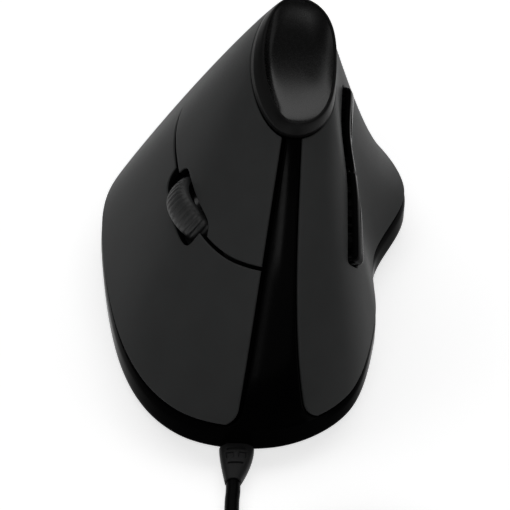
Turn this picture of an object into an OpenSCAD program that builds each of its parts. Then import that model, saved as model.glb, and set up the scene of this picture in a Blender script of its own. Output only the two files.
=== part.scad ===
// Vertical mouse for the right hand, with its cable.
// Millimetres. +X is the finger side, -X the thumb side, +Y the front, +Z up.
// The origin is on the table, under the middle of the housing.

/* [Housing] */
// Reach of the widest line to the finger side
finger_reach = 38; // [34:0.5:42]
// Reach of the widest line to the thumb side
thumb_reach = 38; // [34:0.5:42]
// Reach of the widest line to the front
front_reach = 58.9; // [54:0.1:64]
// Reach of the widest line to the rear
rear_reach = 59.1; // [54:0.1:64]
// Height of the glossy rim's top edge
rim_top = 11; // [9:0.5:14]
// Height of the widest line of the rim
rim_lip = 3.5; // [3:0.5:6]
// How far the rim draws in below its widest line
rim_undercut = 3.2; // [1:0.2:5]
// Wall of the rim
rim_wall = 2.2; // [1.6:0.1:3]
// Wall of the shells and keys
shell_wall = 2; // [1.6:0.1:2.6]
// Gap between shells that do not move
seam_gap = 0.3; // [0.2:0.05:0.6]

/* [Crown] */
// Middle of the crown's rim, to the finger side
crown_x = -8.6; // [-14:0.2:-4]
// Middle of the crown's rim, to the front
crown_y = 1; // [-6:0.5:8]
// Middle of the crown's rim, height
crown_z = 64.3; // [58:0.5:72]
// Half width of the crown's rim
crown_half_w = 9.6; // [8:0.2:12]
// Half length of the crown's rim
crown_half_l = 17; // [14:0.5:20]
// Slope of the crown down to the front
crown_pitch = 26; // [18:1:34]
// Lean of the crown to the thumb side
crown_roll = 6; // [0:1:12]
// Width of the sloping band round the dish at its widest
bezel_w = 2; // [1.4:0.1:3]
// Height of the band's crest above the crown's rim
bezel_rise = 3; // [2:0.2:4]
// Depth of the dish below the band's crest
dish_depth = 2.2; // [1.2:0.2:4]

/* [Keys] */
// Gap between a finger key and the spine
spine_gap = 0.9; // [0.8:0.05:1.4]
// Width of the slit between the finger keys
slit_w = 0.9; // [0.8:0.05:1.4]
// Gap between the lower key and the rim
foot_gap = 0.6; // [0.5:0.05:1]
// Radius of a key's post above its switch
post_r = 1.8; // [1.4:0.1:2.4]
// Gap between a post and its plunger at rest
contact_gap = 0.15; // [0.1:0.05:0.3]
// Length of the two thumb keys together
strip_l = 42; // [36:0.5:46]
// Width of the thumb keys
strip_w = 5; // [4:0.2:7]
// Height of the thumb keys above the shell
strip_proud = 1.9; // [1.2:0.1:2.6]
// Gap between the two thumb keys
strip_split = 0.6; // [0.4:0.1:1.2]
// Gap round the thumb keys
strip_gap = 0.4; // [0.3:0.05:0.7]

/* [Wheel] */
// Diameter of the scroll wheel
wheel_d = 18; // [16.5:0.5:20]
// Width of the scroll wheel
wheel_w = 7; // [6:0.2:8]
// Height of the wheel above the keys
wheel_proud = 3; // [2.4:0.2:3.6]
// Thickness of the wheel's rubber tread
tread_t = 2.4; // [2.2:0.2:3.4]
// Depth of the grooves across the tread
rib_depth = 0.3; // [0.2:0.1:0.6]
// Number of ribs on the tread
rib_count = 40; // [24:2:60]
// Diameter of the wheel's axle
axle_d = 2.4; // [2:0.1:3]
// Diameter of the cradle's pin
pin_d = 2; // [1.6:0.1:2.4]

/* [Boards] */
// Thickness of a circuit board
board_t = 1.6; // [1:0.2:2]
// Depth of the finger board below the skin
finger_board_depth = 13; // [12.6:0.2:14.4]
// Length of the main board
main_board_l = 52; // [40:1:54]
// Width of the main board
main_board_w = 30; // [24:1:32]
// Height of a key switch
switch_h = 6.5; // [6:0.1:7]
// Height of a tactile switch
tact_h = 3.5; // [3:0.1:4]
// Diameter of a board screw
board_screw_d = 2; // [1.6:0.1:2.4]

/* [Base] */
// Thickness of the bottom plate
plate_t = 2; // [1.6:0.1:3]
// Height of the plate above the table
plate_lift = 0.6; // [0.4:0.1:1]
// Thickness of the glides
glide_t = 1; // [0.8:0.1:1.4]
// Diameter of a housing screw
screw_d = 2.2; // [1.8:0.1:2.8]
// Length of a housing screw below its head
screw_l = 8; // [6:0.5:10]

/* [Cable] */
// Diameter of the cable
cable_d = 3.2; // [2.8:0.1:3.6]
// Width of the strain relief at its root
relief_w = 7.8; // [6:0.2:9]
// Length of the strain relief outside the rim
relief_l = 9; // [7:0.5:14]
// Turns in each layer of the coil
coil_turns = 6; // [4:1:7]
// Clear gap between turns of the coil
coil_gap = 0.5; // [0.45:0.05:0.8]
// Thickness of the tie round the coil
tie_t = 0.6; // [0.4:0.1:1]

/* [Hidden] */

// Colours
MATTE = "#383a3a";
GLOSS = "#0c0c0d";
BEZEL = "#1c1c1c";
RUBBER = "#1e2020";
INNER = "#5b5e62";
BOARD = "#1f5a3a";
CHIP = "#26282b";
STEEL = "#c4c6c8";
WHITE = "#e4e2dc";
LAMP = "crimson";
round_fn = 48;
small_fn = 32;
UP = [0, 0, 1];
FAR = 200;

// The skin. Stations run round the housing from the spine past the finger side, the rear and the thumb side.
// Each holds the shares of the reach in X and Y, the angle on the crown's rim,
// the slope and pull of the skin at its foot and at its top, and how far the rim's top edge is lifted there.
STATIONS = [
    [-0.105, 1.000, 90, 63, 18.8, 40, 18, -2],
    [0.468, 0.932, 58, 59.5, 16.7, 42, 18, -0.8],
    [0.824, 0.590, 30, 54.7, 14.9, 47, 18, 1.4],
    [1.000, -0.085, 0, 57.3, 16.6, 54, 18, 1.6],
    [0.855, -0.475, -40, 58.7, 17.3, 55, 16, 0.8],
    [0.475, -0.850, -70, 61.7, 19.9, 48, 16, 0.2],
    [-0.155, -1.000, -98, 68, 22, 42, 16, 0],
    [-0.690, -0.750, -130, 60, 16, 56, 16, 0],
    [-1.000, -0.325, -162, 40, 16, 80, 24, 0],
    [-0.765, 0.093, -192, 68.8, 14.5, 84, 20, -0.5],
    [-0.738, 0.470, -220, 70.2, 14.5, 68, 18, -0.5],
    [-0.552, 0.832, -246, 66.5, 16.2, 46, 18, -2.3],
];
station_count = len(STATIONS);
function unit(a) = a / norm(a);
function mix(a, b, t) = a + (b - a) * t;

// The crown's rim is an oval, fuller on the thumb side.
crown_full = 0.12;
crown_skew = 0.18;
crown_c = [crown_x, crown_y, crown_z];
crown_ey = [0, cos(crown_pitch), -sin(crown_pitch)];
crown_ex = cos(crown_roll) * [1, 0, 0] + sin(crown_roll) * cross([1, 0, 0], crown_ey);
crown_n = cross(crown_ex, crown_ey);
function crown_point(a, inset = 0, rise = 0) = crown_c + rise * crown_n
    + (crown_half_w - inset) * cos(a) * (1 + pow(sin(a), 2) * (crown_full - crown_skew * cos(a))) * crown_ex
    + (crown_half_l - inset) * sin(a) * crown_ey;

function station_row(k) =
    let (s = STATIONS[(k % station_count + station_count) % station_count])
    [s[0] * (s[0] > 0 ? finger_reach : thumb_reach), s[1] * (s[1] > 0 ? front_reach : rear_reach),
        s[2] - 360 * floor(k / station_count), s[3], s[4], s[5], s[6], s[7]];
function station(u) =
    let (i = floor(u), t = u - i)
    let (a = station_row(i - 1), b = station_row(i), c = station_row(i + 1), d = station_row(i + 2))
    let (e = 2 * a - 5 * b + 4 * c - d, f = 3 * b - a - 3 * c + d)
    (2 * b + (c - a) * t + e * pow(t, 2) + f * pow(t, 3)) / 2;
function slope(h, a) = cos(a) * h + sin(a) * UP;
function skin(u, v) =
    let (s = station(u), foot = [s[0], s[1], rim_top + s[7]], top = crown_point(s[2]))
    let (h = unit([top.x - foot.x, top.y - foot.y, 0]))
    let (p = foot + s[4] * slope(h, s[3]), q = top - s[6] * slope(h, s[5]), w = 1 - v)
    pow(w, 3) * foot + 3 * w * w * v * p + 3 * w * v * v * q + pow(v, 3) * top;

small = 0.01;
function skin_du(u, v) = (skin(u + small, v) - skin(u - small, v)) / (2 * small);
function skin_dv(u, v) = (skin(u, v + small) - skin(u, v - small)) / (2 * small);
function skin_n(u, v) = unit(cross(skin_dv(u, v), skin_du(u, v)));
function under(u, v, depth) = skin(u, v) - depth * skin_n(u, v);
// Steps in u and v that cover a length on the skin
function u_step(u, v, len) = len / norm(skin_du(u, v));
function v_step(u, v, len) = len / norm(skin_dv(u, v));
// A point below the skin's foot edge, reached level so that the edge stays flat
function under_level(u, v, depth) =
    let (n = skin_n(u, v), h = [n.x, n.y, 0])
    skin(u, v) - depth / (h * h) * h;

// The base outline, drawn in by an inset
function foot_point(u, inset, z) =
    let (s = station(u), t = station(u + small) - station(u - small))
    let (n = unit([-t[1], t[0], 0]))
    [s[0], s[1], z] + inset * (-n);
outline_steps = 72;
function outline(inset) = [for (k = [0:outline_steps - 1])
    let (p = foot_point(-k * station_count / outline_steps, inset, 0)) [p.x, p.y]];

// A closed shell over a grid of outer points and the matching inner points.
// Cells that are left out get walls round them.
function in_grid(i, j, ni, nj, wrap) = j >= 0 && j < nj - 1 && (wrap || (i >= 0 && i < ni - 1));
function shell_faces(ni, nj, wrap, has) =
    let (m = ni * nj)
    [for (i = [0:(wrap ? ni - 1 : ni - 2)]) for (j = [0:nj - 2]) if (has(i, j))
        let (a = i * nj + j, b = (i + 1) % ni * nj + j, c = b + 1, d = a + 1)
        let (left = (i + ni - 1) % ni, right = (i + 1) % ni)
        let (open = [in_grid(i, j - 1, ni, nj, wrap) && has(i, j - 1),
            in_grid(i + 1, j, ni, nj, wrap) && has(right, j),
            in_grid(i, j + 1, ni, nj, wrap) && has(i, j + 1),
            in_grid(i - 1, j, ni, nj, wrap) && has(left, j)])
        each concat([[a, b, c], [a, c, d], [a + m, c + m, b + m], [a + m, d + m, c + m]],
            open[0] ? [] : [[b, a, a + m], [b, a + m, b + m]],
            open[1] ? [] : [[c, b, b + m], [c, b + m, c + m]],
            open[2] ? [] : [[d, c, c + m], [d, c + m, d + m]],
            open[3] ? [] : [[a, d, d + m], [a, d + m, a + m]])];

// A panel of the skin. at(s, t) gives the place on the skin, s along the housing and t up it.
// Its bottom edge is cut level where it starts within the foot band.
foot_band = 0.05;
module panel(at, cells) {
    ni = cells[0];
    nj = cells[1];
    places = [for (i = [0:ni]) for (j = [0:nj]) at(i / ni, j / nj)];
    outer = [for (p = places) skin(p[0], p[1])];
    inner = [for (k = [0:len(places) - 1])
        let (p = places[k], level = k % (nj + 1) == 0 && p[1] < foot_band)
        level ? under_level(p[0], p[1], shell_wall) : under(p[0], p[1], shell_wall)];
    polyhedron(concat(outer, inner), shell_faces(ni + 1, nj + 1, false, function (i, j) true));
}

// The space inside the skin, to trim posts that rise to a shell
core_cells = [48, 12];
module core(depth) {
    ni = core_cells[0];
    nj = core_cells[1];
    last = (nj + 1) * ni;
    rings = [for (j = [0:nj]) for (i = [0:ni - 1]) under(-i * station_count / ni, j / nj, depth)];
    low = [for (i = [0:ni - 1]) let (p = rings[i]) [p.x, p.y, 0]];
    sides = [for (j = [0:nj]) for (i = [0:ni - 1])
        let (a = j * ni + i, b = j * ni + (i + 1) % ni, c = b + ni, d = a + ni)
        each [[a, c, b], [a, d, c]]];
    caps = [for (i = [1:ni - 2]) each [[0, i, i + 1], [last, last + i + 1, last + i]]];
    polyhedron(concat(low, rings), concat(sides, caps));
}

// A round or flat tube through a list of rings, closed at both ends
function tube_faces(rings, sides) = let (last = (rings - 1) * sides) concat(
    [for (k = [0:rings - 2]) for (i = [0:sides - 1])
        let (a = k * sides + i, b = k * sides + (i + 1) % sides)
        each [[a, b, b + sides], [a, b + sides, a + sides]]],
    [for (i = [1:sides - 2]) each [[0, i + 1, i], [last, last + i, last + i + 1]]]);
function along(path, k) = unit(path[min(k + 1, len(path) - 1)] - path[max(k - 1, 0)]);
module tube(path, d, sides) {
    points = [for (k = [0:len(path) - 1])
        let (t = along(path, k), side = unit(cross(t, UP)), top = cross(side, t))
        for (i = [0:sides - 1])
            let (a = 360 * (i + 0.5) / sides)
            path[k] + d / 2 * (cos(a) * side + sin(a) * top)];
    polyhedron(points, tube_faces(len(path), sides));
}

// A frame on the skin: its origin, a direction along it and its outward direction
function frame_at(o, x, z) =
    let (ux = unit(x), uz = unit(z - (z * ux) * ux), uy = cross(uz, ux))
    [[ux.x, uy.x, uz.x, o.x], [ux.y, uy.y, uz.y, o.y], [ux.z, uy.z, uz.z, o.z], [0, 0, 0, 1]];
function to_world(m, p) = let (q = m * [p.x, p.y, p.z, 1]) [q.x, q.y, q.z];
function column_of(m, k) = [m[0][k], m[1][k], m[2][k]];
function to_local(m, p) =
    let (d = p - column_of(m, 3))
    [d * column_of(m, 0), d * column_of(m, 1), d * column_of(m, 2)];

// Lines on the skin
spine_finger_u = 0.3;
spine_finger_bow = 0.04;
spine_thumb_u = -0.22;
spine_thumb_bow = 0.17;
spine_waist_v = 0.6;
corner_r = 4.5;
corner_v = 0.08;
function bow(v) = pow((v - spine_waist_v) / spine_waist_v, 2);
function corner(v) = v < corner_v ? 1 - sqrt(1 - pow(1 - max(v, 0) / corner_v, 2)) : 0;
function spine_finger(v) = spine_finger_u + spine_finger_bow * bow(v)
    + u_step(spine_finger_u, v, corner_r * corner(v));
function spine_thumb(v) = spine_thumb_u - spine_thumb_bow * bow(v)
    - u_step(spine_thumb_u, v, corner_r * corner(v));
hinge_u = 3.9;
rear_seam_u = 7;
slit_v = 0.555;
slit_crest_u = 1.4;
slit_fall = 0.009;
function slit(u) = slit_v - slit_fall * pow(u - slit_crest_u, 2);
top_v = 0.998;
key_top_v = 0.993;

// The finger frame: X to the front along the slit, Y up the slope, Z out of the skin
wheel_u = 2.18;
wheel_v = 0.537;
finger_frame = frame_at(skin(wheel_u, wheel_v), -skin_du(wheel_u, wheel_v), skin_n(wheel_u, wheel_v));
wheel_r = wheel_d / 2;
wheel_sink = wheel_r - wheel_proud;
opening_clear = 1;
opening_half_w = wheel_w / 2 + opening_clear;
opening_ends = 2.5;
opening_half_l = sqrt(pow(wheel_r, 2) - pow(wheel_sink - shell_wall, 2)) + opening_ends;
// The opening leans with the skin's meridians, and its ends are nearly square
opening_lean = 1.3;
opening_square = 8;
function opening(u, side) =
    let (p = to_local(finger_frame, skin(u, slit(u))))
    let (x = (p.x - side * opening_lean) / opening_half_l)
    let (mid = wheel_v - slit(u), reach = v_step(wheel_u, wheel_v, opening_half_w))
    abs(x) < 1 ? (reach + side * mid) * sqrt(1 - pow(x, opening_square)) : 0;
function upper_edge(u) = slit(u) + max(v_step(u, slit(u), slit_w / 2), opening(u, 1));
function lower_edge(u) = slit(u) - max(v_step(u, slit(u), slit_w / 2), opening(u, -1));

// Switches, posts and boards in the finger frame
board_z = -finger_board_depth;
plunger_proud = 1;
switch_l = 12.8;
switch_w = 5.8;
switch_shift = -2.5;
plunger_r = 1.2;
plunger_fit = 0.1;
plunger_sunk = 1.5;
plunger_room = 1;
post_z = board_z + switch_h + plunger_proud + contact_gap;
upper_post_uv = [2.4, 0.765];
lower_post_uv = [2.05, 0.3];
upper_post = to_local(finger_frame, skin(upper_post_uv[0], upper_post_uv[1]));
lower_post = to_local(finger_frame, skin(lower_post_uv[0], lower_post_uv[1]));
board_x = [-17, 16.5];
board_y = [-20.5, 19.5];
standoff_h = 1.2;
standoff_r = 2.2;
carrier_t = 1.8;
carrier_z = board_z - board_t - standoff_h;
carrier_margin = 0.6;
column_r = 3;
prop_r = 2;
finger_screw_places = [[14.2, -16.5], [-14.2, -16.5], [8.5, 15.5]];
// The corner by the spine is cut away
board_cut = [11.5, 9.5];
slot_half_l = sqrt(pow(wheel_r, 2) - pow(min(finger_board_depth - wheel_sink, wheel_r), 2)) + opening_clear;
slot_half_w = wheel_w / 2 + opening_clear;

// The wheel's cradle and its pin
cradle_clear = 0.8;
arm_t = 1.6;
arm_in = wheel_w / 2 + cradle_clear;
arm_out = arm_in + arm_t;
run_fit = 0.08;
body_gap = 0.35;
pin_x = 12.6;
pin_lift = 2.7;
pin_z = board_z + pin_lift;
ear_t = 2;
ear_r = 1.9;
ear_in = arm_out + body_gap;
ear_out = ear_in + ear_t;
ear_places = [-ear_out, ear_in];
arm_clear = 0.6;
arm_low = board_z + arm_clear;
arm_cover = 0.3;
arm_top = pin_z + pin_d / 2 + arm_cover;
bar_x = -14;
bar_half = 1.8;
bar_t = 2.4;
tact_w = 6;
tact_r = 1.5;
tact_proud = 0.8;
tact_tip_z = board_z + tact_h + tact_proud;
bar_z = tact_tip_z + contact_gap;
encoder_room = 0.6;
encoder_bore_r = axle_d / 2 + encoder_room;
encoder_l = 7.5;
encoder_w = 3.4;
encoder_gap = 1.2;
encoder_y = arm_out + encoder_gap;
encoder_wall = 0.3;
encoder_top = encoder_bore_r + encoder_wall - wheel_sink;

// The thumb frame: X up the keys to the rear, Z out of the skin
strip_top_uv = [7.85, 0.77];
strip_mid_uv = [9.4, 0.64];
strip_low_uv = [10.4, 0.43];
strip_top = skin(strip_top_uv[0], strip_top_uv[1]);
strip_low = skin(strip_low_uv[0], strip_low_uv[1]);
strip_n = skin_n(strip_mid_uv[0], strip_mid_uv[1]);
thumb_frame = frame_at((strip_top + strip_low) / 2, strip_top - strip_low, strip_n);
thumb_out = column_of(thumb_frame, 2);
strip_bow = 1.2;
strip_corner = 1.2;
split_corner = 0.4;
flange_w = 0.8;
flange_t = 1;
flange_drop = 1.9;
flange_z = -shell_wall - flange_drop;
key_low = flange_z - flange_t;
thumb_board_z = key_low - contact_gap - tact_proud - tact_h;
thumb_board_w = 10;
thumb_board_end = 3;
rear_boss_uv = [7.6, 0.783];
front_boss_uv = [10.49, 0.376];
boss_places = [for (p = [rear_boss_uv, front_boss_uv]) to_local(thumb_frame, skin(p[0], p[1]))];
boss_r = 2.2;
boss_pilot = 3.5;
strip_cut = 20;
thumb_switch_x = strip_l / 4;

// The base
plate_top = plate_lift + plate_t;
flange_plate_t = 0.4;
rim_low = plate_lift + flange_plate_t;
plate_fit = 0.2;
rim_inner_inset = rim_undercut + rim_wall;
flange_margin = 0.4;
flange_inset = rim_undercut + flange_margin;
post_out_r = 2.8;
pilot_fit = 0.05;
head_r = 2.2;
head_h = 1.2;
head_gap = 0.3;
head_web = 0.7;
head_seat = plate_top - head_web;
palm_posts = [[14, -38], [-13, -38.2]];
thumb_post = [-25, -17];
column_places = [for (p = finger_screw_places) to_world(finger_frame, [p[0], p[1], carrier_z])];
screw_places = concat(palm_posts, [thumb_post], [for (k = [0, 1]) [column_places[k].x, column_places[k].y]]);
glide_w = 6;
glide_from_front = 16.4;
glide_from_rear = 13.6;
front_glide_at = [-3, front_reach - glide_from_front];
front_glide_l = 24;
// The rear glide lies between the rear screws' heads
glide_clear = 1;
rear_glide_at = [(palm_posts[0].x + palm_posts[1].x) / 2, glide_from_rear - rear_reach];
rear_glide_l = palm_posts[0].x - palm_posts[1].x - 2 * (head_r + head_gap + plate_fit + glide_clear);

// The main board
main_board_at = [-4, -8];
board_lift = 1.6;
standoff_z = plate_top + board_lift;
main_board_top = standoff_z + board_t;
main_screw_inset = 3;
main_screw_places = [for (k = [-1, 1]) main_board_at
    + k * [main_board_w / 2 - main_screw_inset, main_screw_inset - main_board_l / 2]];
sensor_at = [-2, -2];
window = [12, 8];
lens_flange = [18, 13];
lens_flange_t = 1.2;
lens_r = 2.6;
lens_drop = 1;
chip = [11, 9, 3];
led_r = 1.5;
led_l = 5;
led_gap = 1;
controller_at = [-8, -24];
controller = [10, 10, 1.2];

// The cable's exit
cable_x = 4.1;
exit_y = foot_point(0.4, 0, 0).y;
neck_w = 4.8;
neck_h = 3.4;
neck_fit = 0.2;
neck_low = rim_low + neck_fit / 2;
neck_root = 1;
inner_z = plate_top + cable_d / 2 + body_gap;
relief_h = 4.8;
relief_z = 2.6;
collar_w = 8;
collar_t = 2;
collar_y = exit_y - rim_inner_inset - plate_fit;
relief_gap = 0.4;
relief_start = exit_y + relief_gap;
relief_end = exit_y + relief_l;
header = [9, 4.5, 6];
header_inset = 1;
header_y = main_board_at.y + main_board_l / 2 - header_inset;
header_z = main_board_top + header.z / 2;

// The cable's route on the table, from the strain relief to the coil and from the coil to the plug
LEAD = [[4.8, 70.5, 1.8], [5, 73, 1.65], [5, 79, 1.6], [5, 85, 1.7], [5, 91, 2], [5, 97, 2.4]];
TAIL = [[7.5, 120, 5.6], [8, 127, 4], [7.5, 134, 2.4], [5, 141, 1.7], [0.5, 147, 1.6], [-5, 151, 1.8],
    [-11, 152.8, 2.8], [-15, 153, 3.9]];
tie_w = 5;
tie_angle = 180;
tie_fit = 0.3;
tie_lift = 0.1;
coil_lift = tie_t + tie_fit + tie_lift;
coil_step = cable_d + coil_gap;
coil_mid_r = 17.5;
coil_out_r = coil_mid_r + coil_step * coil_turns / 2;
coil_x = 5;
coil_y = 111;
coil_c = [coil_x - coil_out_r, coil_y];
coil_low_z = coil_lift + cable_d / 2;
coil_high_z = coil_low_z + coil_step;
loop_rings = 24;
coil_sides = 6;
lead_sides = 8;
plug_at = [-19, 153, 4.05];
overmould_l = 24;
overmould_w = 15.6;
overmould_h = 8;
shell_out_l = 12;
shell_w = 12;
shell_h = 4.5;
shell_t = 0.3;
shell_sunk = 3;
tongue_t = 1.8;
tongue_fit = 0.15;
tongue_back = 0.8;
usb_hole = 2.4;
usb_hole_x = 6.2;
usb_hole_y = 2.8;

// Modules that repeat

module in_finger() { multmatrix(finger_frame) children(); }
module in_thumb() { multmatrix(thumb_frame) children(); }
module block(lo, hi) { translate(lo) cube(hi - lo); }
module across(r, y0, y1) {
    translate([0, y0, 0]) rotate([-90, 0, 0]) cylinder(h = y1 - y0, r = r, $fn = round_fn);
}
module stadium(l, w) {
    square([l - w, w], center = true);
    for (k = [-1, 1]) translate([k * (l - w) / 2, 0]) circle(d = w, $fn = round_fn);
}
// A small pan-head screw, its head seat at the origin and its shank down -Z
module screw(d, l, r, h) {
    cylinder(h = h, r = r, $fn = small_fn);
    translate([0, 0, -l]) cylinder(h = l, r = d / 2, $fn = small_fn);
}
// A plunger, its tip at the given height over its seat
module plunger(r, proud) {
    translate([0, 0, -plunger_sunk]) cylinder(h = plunger_sunk + proud, r = r, $fn = small_fn);
}
// A switch, its plunger's bore at the origin
module switch_body(l, w, h, r, shift = 0) {
    difference() {
        translate([shift - l / 2, -w / 2, 0]) cube([l, w, h]);
        translate([0, 0, h - plunger_sunk - plunger_room])
            cylinder(h = FAR, r = r + plunger_fit, $fn = small_fn);
    }
}

// A hole for a small screw, cut up and down from the origin
module board_hole() { cylinder(h = FAR, d = board_screw_d + 2 * pilot_fit, center = true, $fn = small_fn); }
// A quarter of a circle about a point
corner_steps = 4;
function corner_arc(c, r, from) = [for (k = [0:corner_steps])
    let (q = from + 90 * k / corner_steps)
    c + r * [cos(q), sin(q)]];

// Shells

// Levels of the rim: a height, the share of the way from there to the top edge, and the inset.
// The rim is round below its widest line.
rim_levels = concat([for (q = [0, 45, 90])
    [rim_lip - (rim_lip - rim_low) * cos(q), 0, rim_undercut * (1 - sin(q))]], [[rim_lip, 1, 0]]);
function rim_point(u, level, inset) =
    foot_point(u, level[2] + inset, mix(level[0], rim_top + station(u)[7], level[1]));
spine_rows = 14;
spine_cells = 6;
rim_cells = 66;
palm_cells = [18, 12];
upper_key_cells = [46, 7];
lower_key_cells = [46, 9];
thumb_cells = [26, 13];
// Rows lie closer together towards the foot
key_ease = 1.6;
thumb_ease = 1.2;

module base_frame() {
    levels = len(rim_levels);
    ni = spine_cells + rim_cells;
    nj = levels + spine_rows;
    function row_v(j) = pow(max(0, (j - levels + 1) / spine_rows), 2) * top_v;
    function place_u(i, v) = i <= spine_cells ? mix(spine_thumb(v), spine_finger(v), i / spine_cells)
        : mix(spine_finger(v), spine_thumb(v) + station_count, (i - spine_cells) / rim_cells);
    function outer(i, j) = j < levels ? rim_point(place_u(i, 0), rim_levels[j], 0)
        : skin(place_u(i, row_v(j)), row_v(j));
    function inner(i, j) = j < levels ? rim_point(place_u(i, 0), rim_levels[j], rim_wall)
        : under(place_u(i, row_v(j)), row_v(j), shell_wall);
    color(GLOSS) difference() {
        polyhedron(concat([for (i = [0:ni - 1]) for (j = [0:nj - 1]) outer(i, j)],
            [for (i = [0:ni - 1]) for (j = [0:nj - 1]) inner(i, j)]),
            shell_faces(ni, nj, true, function (i, j) j < levels - 1 || i < spine_cells));
        block([cable_x - neck_w / 2 - neck_fit, collar_y, -FAR],
            [cable_x + neck_w / 2 + neck_fit, FAR, neck_low + neck_h + neck_fit]);
    }
}

module shell_post(at) {
    intersection() {
        translate([at.x, at.y, plate_top]) cylinder(h = crown_z, r = post_out_r, $fn = round_fn);
        core(shell_wall / 2);
    }
}
module post_pilot(at) {
    depth = head_seat + screw_l + pilot_fit;
    translate([at.x, at.y, depth - FAR]) cylinder(h = FAR, d = screw_d + 2 * pilot_fit, $fn = small_fn);
}

module palm_shell() color(MATTE) difference() {
    union() {
        panel(function (s, t)
            let (v = mix(v_step(hinge_u, 0, seam_gap), top_v, t))
            let (start = hinge_u + u_step(hinge_u, v, seam_gap / 2))
            let (end = rear_seam_u - u_step(rear_seam_u, v, seam_gap / 2))
            [mix(start, end, s), v], palm_cells);
        for (p = palm_posts) shell_post(p);
    }
    for (p = palm_posts) post_pilot(p);
}

module key_post(at) {
    in_finger() translate([at.x, at.y, post_z])
        cylinder(h = at.z - shell_wall / 2 - post_z, r = post_r, $fn = small_fn);
}

module upper_key() color(MATTE) union() {
    panel(function (s, t)
        let (w = mix(slit(spine_finger_u), key_top_v, t))
        let (front = spine_finger(w) + u_step(spine_finger_u, w, spine_gap))
        let (u = mix(front, hinge_u - u_step(hinge_u, w, seam_gap / 2), s))
        [u, mix(upper_edge(u), key_top_v, t)], upper_key_cells);
    key_post(upper_post);
}

module lower_key() color(MATTE) union() {
    panel(function (s, t)
        let (w = mix(v_step(spine_finger_u, 0, foot_gap), slit(spine_finger_u), pow(t, key_ease)))
        let (front = spine_finger(w) + u_step(spine_finger_u, w, spine_gap))
        let (u = mix(front, hinge_u - u_step(hinge_u, w, seam_gap / 2), s))
        [u, mix(v_step(u, 0, foot_gap), lower_edge(u), pow(t, key_ease))], lower_key_cells);
    key_post(lower_post);
}

// The thumb keys' outline lies along a shallow arc
function strip_y(x) = strip_bow * (1 - pow(2 * x / strip_l, 2));
strip_steps = 6;
// low_r and high_r round the corners at its two ends
function strip_outline(x0, x1, grow, ends, low_r, high_r) =
    let (w = strip_w / 2 + grow, a = x0 - ends + low_r, b = x1 + ends - high_r)
    let (xs = [for (k = [1:strip_steps - 1]) mix(a, b, k / strip_steps)])
    concat([for (x = xs) [x, strip_y(x) - w]],
        corner_arc([b, strip_y(b) - w + high_r], high_r, -90),
        corner_arc([b, strip_y(b) + w - high_r], high_r, 0),
        [for (k = [len(xs) - 1:-1:0]) [xs[k], strip_y(xs[k]) + w]],
        corner_arc([a, strip_y(a) + w - low_r], low_r, 90),
        corner_arc([a, strip_y(a) - w + low_r], low_r, 180));
module strip_prism(x0, x1, grow, low_r, high_r) {
    in_thumb() linear_extrude(height = 2 * strip_cut, center = true)
        polygon(strip_outline(x0, x1, grow, grow, low_r, high_r));
}

module thumb_shell() color(MATTE) difference() {
    union() {
        panel(function (s, t)
            let (v = mix(v_step(strip_mid_uv[0], 0, seam_gap), top_v, pow(t, thumb_ease)))
            let (end = station_count + spine_thumb(v) - u_step(spine_thumb_u, v, seam_gap))
            [mix(rear_seam_u + u_step(rear_seam_u, v, seam_gap / 2), end, s), v], thumb_cells);
        shell_post(thumb_post);
        for (p = boss_places) in_thumb() translate([p.x, p.y, thumb_board_z])
            cylinder(h = p.z - shell_wall / 2 - thumb_board_z, r = boss_r, $fn = small_fn);
    }
    strip_prism(-strip_l / 2, strip_l / 2, strip_gap, strip_corner, strip_corner);
    post_pilot(thumb_post);
    for (p = boss_places) in_thumb() translate([p.x, p.y, thumb_board_z - small])
        cylinder(h = boss_pilot, d = board_screw_d + 2 * pilot_fit, $fn = small_fn);
}

// A thumb key follows the skin on top and keeps a flange behind the shell.
// It is cut from a thick patch of the skin that reaches past its ends.
patch_u = [7.35, 10.75];
patch_v = [0.2, 0.92];
patch_cells = [18, 9];
module thumb_key(x0, x1, low_r, high_r) {
    ni = patch_cells[0];
    nj = patch_cells[1];
    function at(i, j) = skin(mix(patch_u[0], patch_u[1], i / ni), mix(patch_v[0], patch_v[1], j / nj));
    function flat(p) = let (q = to_local(thumb_frame, p)) to_world(thumb_frame, [q.x, q.y, key_low]);
    intersection() {
        polyhedron(concat([for (i = [0:ni]) for (j = [0:nj]) at(i, j) + strip_proud * thumb_out],
            [for (i = [0:ni]) for (j = [0:nj]) flat(at(i, j))]),
            shell_faces(ni + 1, nj + 1, false, function (i, j) true));
        strip_prism(x0, x1, 0, low_r, high_r);
    }
    in_thumb() translate([0, 0, key_low]) linear_extrude(height = flange_t)
        polygon(strip_outline(x0, x1, flange_w, 0, low_r, high_r));
}
module thumb_key_rear() color(GLOSS)
    thumb_key(strip_split / 2, strip_l / 2, split_corner, strip_corner);
module thumb_key_front() color(GLOSS)
    thumb_key(-strip_l / 2, -strip_split / 2, strip_corner, split_corner);

// Crown

crown_steps = 48;
bezel_gap = 0.1;
bezel_lip = 0.6;
bezel_edge = 0.2;
dish_fit = 0.1;
dish_t = 1.4;
dish_rings = 6;
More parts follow.
